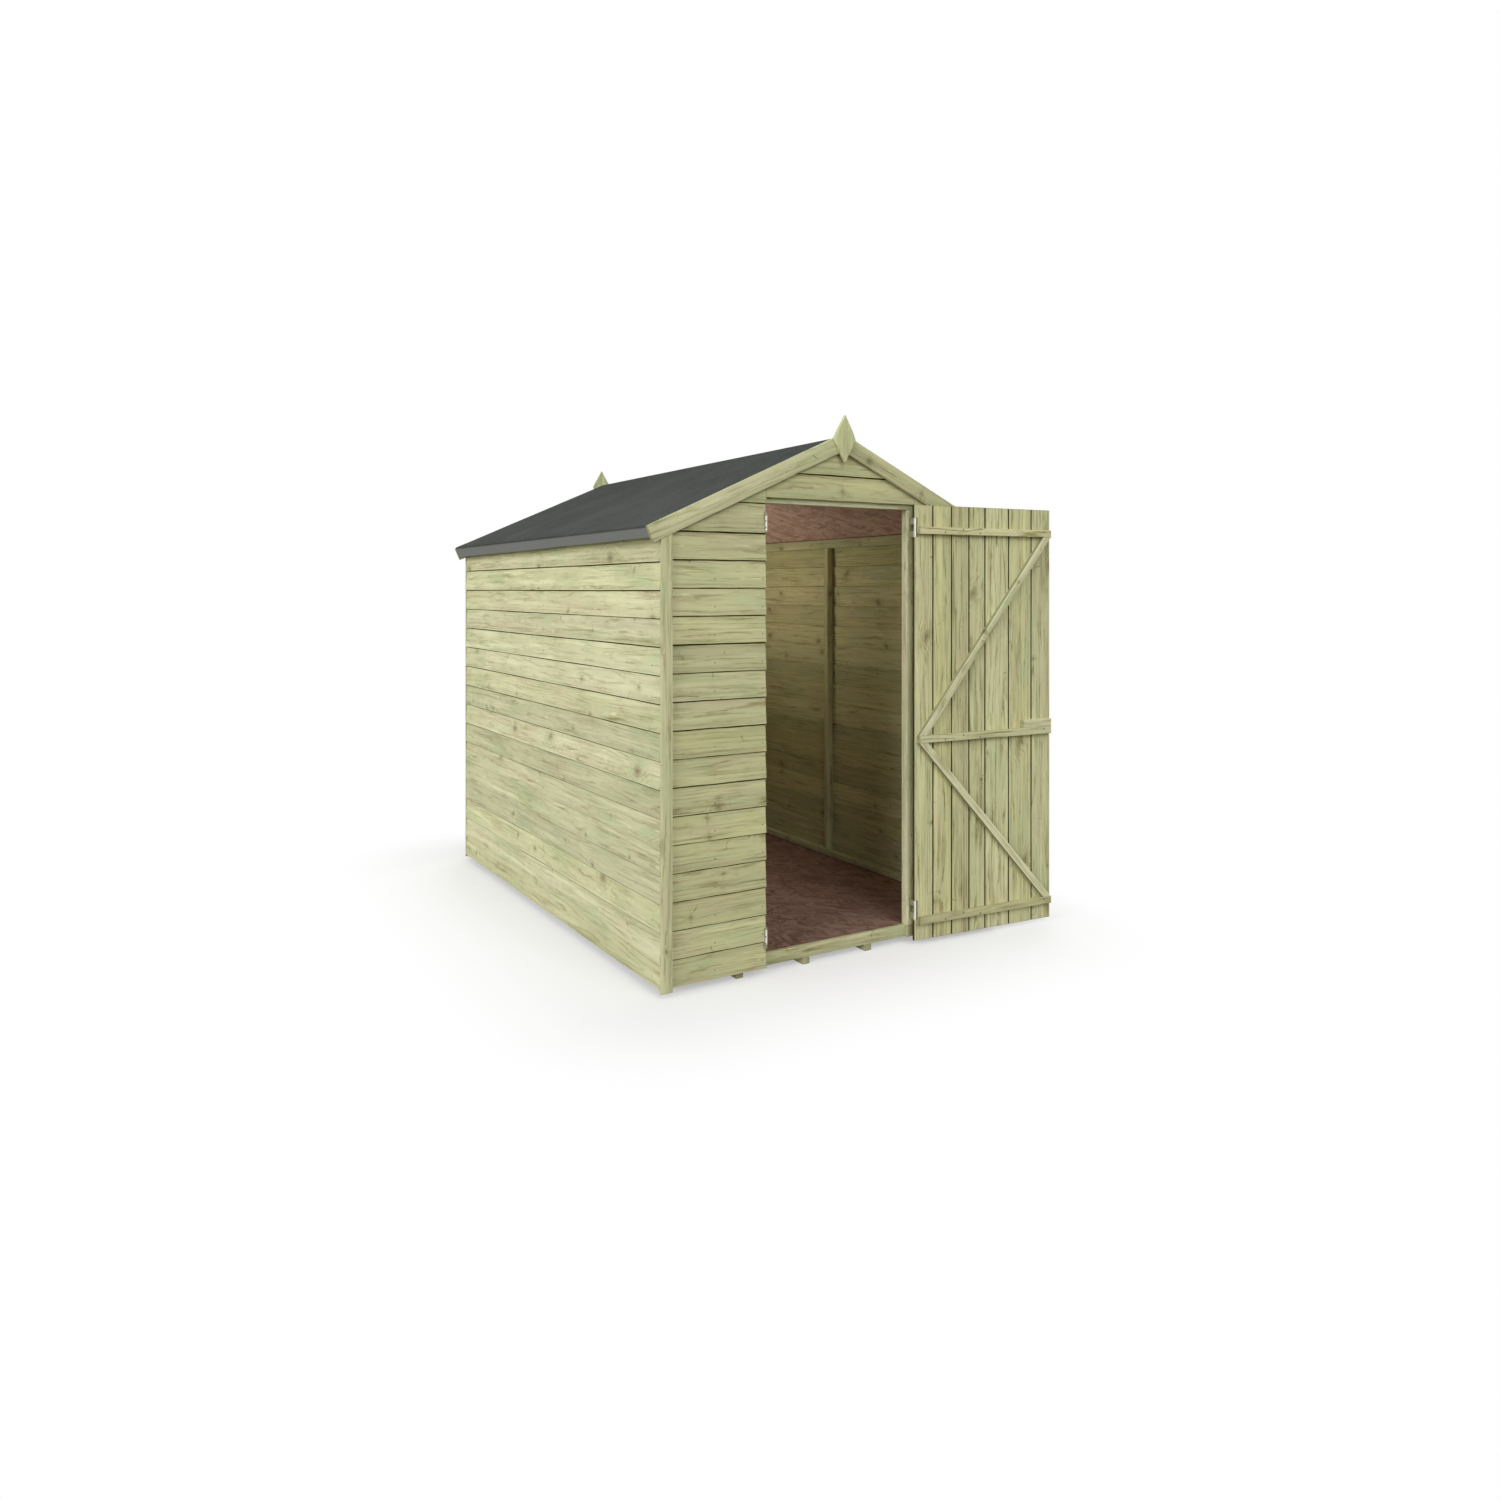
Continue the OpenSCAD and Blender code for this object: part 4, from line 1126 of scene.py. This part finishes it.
class SHED_OT_trim(Operator):
    """Makes the corner strips, bargeboards and finials"""
    bl_idname = "shed.trim"
    bl_label = "Trim"

    def execute(self, context):
        timber = context.scene.shed_timber
        material = timber_named("treated_boards", context)
        thick = TRIM_Y - WALL_Y
        y = -WALL_Y - thick / 2
        strip_x = WALL_X - STRIP_WIDTH / 2
        strip = eased_box(STRIP_WIDTH, thick, timber.arris)
        board = eased_box(thick, BARGE_DEPTH, timber.arris)
        ends = (("front", AS_IT_IS, BARGE_TOP, BARGE_PITCH), ("back", FLIP_Y, BACK_TOP, PITCH))
        for end, (name, flip, peak, pitch) in enumerate(ends):
            slope = off_slope(pitch)
            top = peak - strip_x * math.tan(pitch) - (BARGE_DEPTH + GAP) / math.cos(pitch)
            foot = np.array([EAVES_X, y, peak - EAVES_X * math.tan(pitch)]) - BARGE_DEPTH / 2 * slope
            apex = np.array([0.0, y, peak - BARGE_DEPTH / 2 / math.cos(pitch)])
            first = SEEDS["strip"] + 10 * end
            strips = [upright(strip_x, y, STRIP_LOW, top, strip, first + k, cut_end=slope) for k in range(2)]
            piece(name + "_strips", turned(both_sides(*strips), flip), material, name + "_corner_strips")
            for side, (hand, over) in enumerate(HANDS):
                barge = bar(apex, foot, NORTH, board, SEEDS["barge"] + 10 * end + side, cut_start=EAST)
                barge = turned([barge], over * flip)
                piece(f"{name}_{hand}_barge", barge, material, f"{name}_{hand}_bargeboard")
            piece(name + "_kite", turned([kite(SEEDS["kite"] + end)], flip), material, name + "_finial")
        return {"FINISHED"}


def open_door(points):
    """Turns points of the closed door, measured from the pins, to the place where the door stands."""
    c, s = math.cos(OPEN), math.sin(OPEN)
    x, y, z = points[..., 0], points[..., 1], points[..., 2]
    return np.stack([PIN[0] + x * c - y * s, PIN[1] + x * s + y * c, z], axis=-1)


def plank_edges(door):
    """Edges of the door's boards from the hinge edge on, the door's width shared out among them."""
    return door.pin_inset - DOOR_WIDTH * np.concatenate([[0], np.cumsum(DOOR_SHARES)]) / sum(DOOR_SHARES)


def ledge_heights(door):
    """Heights of the three ledges, from the bottom up."""
    return door.ledge_low, door.ledge_mid, door.ledge_high


def door_board(door, left, right, seed, notches=()):
    """Upright board: an eight-sided section with V edges, drawn back at the hinge notches."""
    arris, bow, stations = 0.0006, 0.0005, 24
    left_clear, right_clear = -0.0006, 0.0018
    half, vee = door.thick / 2, door.vee
    corners = [(right - vee, -half), (right, vee - half), (right, half - vee), (right - vee, half),
               (left + vee, half), (left, half - vee), (left, vee - half), (left + vee, -half)]
    section = eased(corners, arris)
    rng = np.random.default_rng(seed)
    z = np.linspace(DOOR_LOW, DOOR_HIGH, stations)
    inside = np.zeros(stations, bool)
    if notches:
        steps = [cut for low, high in notches for cut in (low, low, high, high)]
        flags = np.tile([False, True, True, False], len(notches))
        z, inside = np.concatenate([z, steps]), np.concatenate([inside, flags])
        order = np.argsort(z, kind="stable")
        z, inside = z[order], inside[order]
        for low, high in notches:
            inside |= (z > low) & (z < high)
    z = z[:, None]
    x = np.where(inside[:, None], np.minimum(section[:, 0], -door.notch), section[:, 0])
    y = section[:, 1] + waves(rng, z - DOOR_LOW, bow, DOOR_HIGH - DOOR_LOW)
    wood = joined(z + rng.uniform(0, GRAIN_RANGE), x - (left + right) / 2, section[:, 1])
    from_end = np.minimum(z - DOOR_LOW, DOOR_HIGH - z)
    # Edge distances that paint shade in the V joints at both edges and a painted highlight beside the left
    # edge
    edge = joined(x - left + left_clear, right - x + right_clear, from_end)
    return block(joined(x, y, z), wood, marks_of(rng), edge)


class SHED_OT_door(Operator):
    """Makes the door's boards, ledges, braces and lock block"""
    bl_idname = "shed.door"
    bl_label = "Door"

    def execute(self, context):
        timber, door = context.scene.shed_timber, context.scene.shed_door
        near = door.pin_inset - door.hinge_inset
        far = door.pin_inset - DOOR_WIDTH + door.free_inset
        y = door.thick / 2 + door.ledge_thick / 2
        ledge = eased_box(door.ledge_thick, door.ledge_height, timber.arris)
        ledges = [bar((far, y, z), (near, y, z), NORTH, ledge, SEEDS["ledge"] + k)
                  for k, z in enumerate(ledge_heights(door))]
        z = door.ledge_mid + door.ledge_height / 2 + door.block_height / 2
        section = eased_box(door.ledge_thick, door.block_height, timber.arris)
        lock = bar((far, y, z), (far + door.block_length, y, z), NORTH, section, SEEDS["lock"], **PALE_AND_LIT)
        material = timber_named("door_timber", context)
        pieces = (
            ("door_planks", self.planks(door), "door_boards"),
            ("ledges", ledges, "door_ledges"),
            ("braces", self.braces(timber, door, near, far, y), "door_braces"),
            ("lock_timber", [lock], "lock_block"),
        )
        for name, blocks, node in pieces:
            piece(name, moved(blocks, open_door), material, node, body="door")
        return {"FINISHED"}

    def planks(self, door):
        """The boards, the first one notched for the hinges, and a tongue in each joint painted wholly in the
        shade colour.
        """
        edges = plank_edges(door)
        gap = door.joint / 2
        reach = door.hinge_height / 2 + DOOR_CLEARANCE
        notches = [(z - reach, z + reach) for z in HINGE_HEIGHTS]
        boards = [door_board(door, left + gap, right - gap, SEEDS["plank"] + k, () if k else notches)
                  for k, (right, left) in enumerate(zip(edges, edges[1:]))]
        tongue_width, tongue_thick, arris = 0.008, 0.003, 0.0005
        tongue = eased_box(tongue_width, tongue_thick, arris)
        tongues = [upright(x, 0.0, DOOR_LOW + SHORT, DOOR_HIGH - SHORT, tongue, SEEDS["tongue"] + k)
                   for k, x in enumerate(edges[1:-1])]
        # The tongues get nil edge distances, so they are painted wholly as shade in the joints
        return boards + [(*one[:3], np.zeros_like(one[3])) for one in tongues]

    def braces(self, timber, door, near, far, y):
        """Two braces that run out from the middle ledge, with painted shade on the sawn side faces and a
        painted highlight along one edge of the face.
        """
        side_shade_edge, highlight_edge, face_rise = 0.0017, 0.003, 0.026
        half = door.ledge_height / 2
        section = eased_box(door.ledge_thick, door.brace_width, timber.arris)
        across = section[:, 1] / door.brace_width
        spans = ((door.ledge_mid + half, door.ledge_high - half, 1.0),
                 (door.ledge_mid - half, door.ledge_low + half, -1.0))
        made = []
        for k, (z_mid, z_end, side) in enumerate(spans):
            rise = abs(z_end - z_mid)
            foot = door.brace_width * math.hypot(rise, far - near) / rise
            one = bar((near - foot / 2, y, z_mid), (far + foot / 2, y, z_end), NORTH, section,
                      SEEDS["brace"] + k, cut_start=UP, cut_end=UP, **BRACE_MARKS)
            # The sawn side faces get an edge distance that paints them in shade; the face gets a painted
            # highlight along one edge
            sawn = np.abs(across) > 0.5 - 1e-4
            low = np.where(sawn, side_shade_edge, highlight_edge + face_rise * (0.5 + side * across))
            made.append((*one[:3], joined(low, 1.0, one[3][..., 2])))
        return made


class SHED_OT_fittings(Operator):
    """Finishes the hinges and plates, and adds nails and screws"""
    bl_idname = "shed.fittings"
    bl_label = "Fittings"

    def execute(self, context):
        timber, door, fit = context.scene.shed_timber, context.scene.shed_door, context.scene.shed_fittings
        plated, dull = 0.3, 0.4
        # The hinges show bright zinc only as a painted highlight on the sides that face the doorway
        hinge = zinc_material("hinge_zinc", fit.zinc, plated, fit.leaf, pin_side_highlight)
        finish_node("frame_hinges", hinge)
        finish_node("door_hinges", hinge)
        finish_node("jamb_plates", zinc_material("jamb_zinc", fit.zinc, plated, fit.leaf, plate_bright_strip))
        steel = zinc_material("dull_steel", fit.steel, dull)
        from_edge, plate_thick, steps = 0.004, 0.002, (-0.020, 0.004)
        spots = [(CLAD_LEFT - from_edge, -WALL_Y - plate_thick, z + step)
                 for z in HINGE_HEIGHTS for step in steps]
        heads("plate_screws", spots, -NORTH, fit.plate_screw, fit.screw_rise, steel)
        self.wall_nails(timber, fit, steel)
        self.door_screws(door, fit, steel)
        return {"FINISHED"}

    def wall_nails(self, timber, fit, steel):
        """One nail a board at each stud, a little above the board's lower edge."""
        out = CLAD_DEPTH - CLAD_DEPTH / 2 * fit.nail_lift / (timber.board_step + timber.board_cover)
        side_rows = lap_heights(timber, SIDE_TOP, timber.board_step)
        end_rows, _ = end_heights(timber)
        left_column, on_left_post, on_right_post = -0.545, 0.022, 0.034
        front = (left_column, -DOORWAY - on_left_post, DOORWAY + on_right_post)
        back = (-FRAME_X + STUD, 0.0, FRAME_X - STUD)
        walls = (
            ("left", on_side(-1.0), -EAST, SIDE_STUDS, side_rows),
            ("right", on_side(1.0), EAST, SIDE_STUDS, side_rows),
            ("front", on_end(-1.0), -NORTH, front, end_rows),
            ("back", on_end(1.0), NORTH, back, end_rows),
        )
        for name, place, facing, columns, rows in walls:
            spots = np.array([(along, out, low + fit.nail_lift) for along in columns for low in rows])
            heads(name + "_nails", place(spots), facing, fit.nail, fit.nail_rise, steel)

    def door_screws(self, door, fit, steel):
        """Screws through each ledge into four of the boards, above and below its middle by turns."""
        edges = plank_edges(door)
        middles = (edges[1:] + edges[:-1]) / 2
        face = door.thick / 2 + door.ledge_thick
        stagger, screwed_boards = 0.006, (1, 2, 3, 6)
        spots = np.array([(middles[k], face, z + stagger * (-1) ** k)
                          for z in ledge_heights(door) for k in screwed_boards])
        facing = open_door(NORTH) - open_door(0.0 * NORTH)
        heads("ledge_screws", open_door(spots), facing, fit.screw, fit.screw_rise, steel, "door")


class SHED_OT_stage(Operator):
    """Sets the camera, the lamps, the floor and the view"""
    bl_idname = "shed.stage"
    bl_label = "Stage"

    def execute(self, context):
        scene, stage = context.scene, context.scene.shed_stage
        scene.view_settings.view_transform = "Standard"
        data = bpy.data.cameras.new("view")
        data.lens, data.sensor_width = stage.lens, 36.0
        data.shift_x, data.shift_y = stage.shift
        scene.camera = in_scene("view", data)
        scene.camera.location = stage.eye
        scene.camera.rotation_euler = (math.pi / 2, 0.0, stage.yaw)
        self.lamps(stage)
        self.sky(scene, stage)
        self.floor(stage)
        return {"FINISHED"}

    def lamps(self, stage):
        """Three wide soft suns, and a soft lamp inside the shed that the camera doesn't see."""
        softness = math.radians(45.0)
        suns = (("side", stage.side, 72.0, -80.0), ("front", stage.front, 55.0, -4.0),
                ("back", stage.back, 65.0, 140.0))
        for name, strength, lean, turn in suns:
            lamp = bpy.data.lights.new(name, "SUN")
            lamp.energy, lamp.angle = strength, softness
            in_scene(name, lamp).rotation_euler = (math.radians(lean), 0.0, math.radians(turn))
        glow = bpy.data.lights.new("inside", "SPOT")
        glow.energy, glow.color = stage.inside, stage.glow
        glow.spot_size, glow.spot_blend, glow.shadow_soft_size = math.pi, 1.0, 0.25
        inside = in_scene("inside", glow)
        inside.location = (-0.30, 0.45, 1.10)
        inside.rotation_euler = (math.radians(150.0), 0.0, math.radians(-95.0))
        inside.visible_camera = False

    def seen(self, shader):
        """One where a ray comes from the camera, a gloss or a glass."""
        path = shader.node("ShaderNodeLightPath")
        return path["Is Camera Ray"].greater(path["Is Glossy Ray"]).greater(path["Is Transmission Ray"])

    def sky(self, scene, stage):
        """Even light all round, white where it is seen."""
        world = bpy.data.worlds.new("studio")
        scene.world = world
        world.use_nodes = True
        s = Shader(world.node_tree)
        light = s.node("ShaderNodeBackground", inputs={"Color": grey(1.0), "Strength": stage.sky})
        plain = s.node("ShaderNodeBackground", inputs={"Color": grey(1.0), "Strength": 1.0})
        shares = {0: self.seen(s), 1: light["Background"], 2: plain["Background"]}
        both = s.node("ShaderNodeMixShader", inputs=shares)
        s.node("ShaderNodeOutputWorld", inputs={"Surface": both["Shader"]})

    def floor(self, stage):
        """A wide disc, matt near the shed and fading to the white of the backdrop."""
        radius, sides = 40.0, 64
        fade_reach, fade_start = 0.7, 0.40
        material, s = new_shader("studio_floor")
        place = s.object_place()
        x, y, _ = s.split(place)
        beside, beyond = (abs(x) - WALL_X).greater(0.0), (abs(y) - WALL_Y).greater(0.0)
        away = (beside * beside + beyond * beyond).root()
        seen = self.seen(s)
        cover = s.mix(s.noise(place, 40.0) * 0.2, rgba(stage.floor), rgba(stage.floor, 0.98))
        inputs = {"Base Color": s.mix(seen, rgba(stage.bounce), cover),
                  "Roughness": 1.0, "Specular IOR Level": 0.0}
        matt = s.node("ShaderNodeBsdfPrincipled", inputs=inputs)
        white = s.node("ShaderNodeEmission", inputs={"Color": grey(1.0), "Strength": 1.0})
        fade = away.band(0.0, fade_reach, fade_start, 1.0) * seen
        both = s.node("ShaderNodeMixShader", inputs={0: fade, 1: matt["BSDF"], 2: white["Emission"]})
        s.node("ShaderNodeOutputMaterial", inputs={"Surface": both["Shader"]})
        turn = np.linspace(0.0, 2.0 * math.pi, sides, endpoint=False)
        rim = joined(radius * np.cos(turn), radius * np.sin(turn), 0.0)
        mesh = bpy.data.meshes.new("studio_floor")
        mesh.from_pydata(rim.tolist(), [], [list(range(sides))])
        mesh.materials.append(material)
        in_scene("studio_floor", mesh)


class SHED_PT_panel(Panel):
    """Lists the pieces and their sizes"""
    bl_idname = "SHED_PT_panel"
    bl_label = "Garden Shed"
    bl_space_type = "VIEW_3D"
    bl_region_type = "UI"
    bl_category = "Shed"

    def draw(self, context):
        for operator in OPERATORS:
            self.layout.operator(operator.bl_idname)
        for name, group in GROUPS:
            box = self.layout.box()
            owner = getattr(context.scene, name)
            for prop in group.__annotations__:
                box.prop(owner, prop)


GROUPS = (
    ("shed_timber", ShedTimber),
    ("shed_roof", ShedRoof),
    ("shed_door", ShedDoor),
    ("shed_fittings", ShedFittings),
    ("shed_stage", ShedStage),
)
OPERATORS = (
    SHED_OT_stage,
    SHED_OT_cladding,
    SHED_OT_framing,
    SHED_OT_floor,
    SHED_OT_roof,
    SHED_OT_trim,
    SHED_OT_door,
    SHED_OT_fittings,
)


def register():
    for name, group in GROUPS:
        bpy.utils.register_class(group)
        setattr(bpy.types.Scene, name, PointerProperty(type=group))
    for kind in (*OPERATORS, SHED_PT_panel):
        bpy.utils.register_class(kind)


def unregister():
    for kind in (SHED_PT_panel, *reversed(OPERATORS)):
        bpy.utils.unregister_class(kind)
    for name, group in reversed(GROUPS):
        delattr(bpy.types.Scene, name)
        bpy.utils.unregister_class(group)


def main():
    register()
    for operator in OPERATORS:
        area, call = operator.bl_idname.split(".")
        getattr(getattr(bpy.ops, area), call)()


if __name__ == "__main__":
    main()
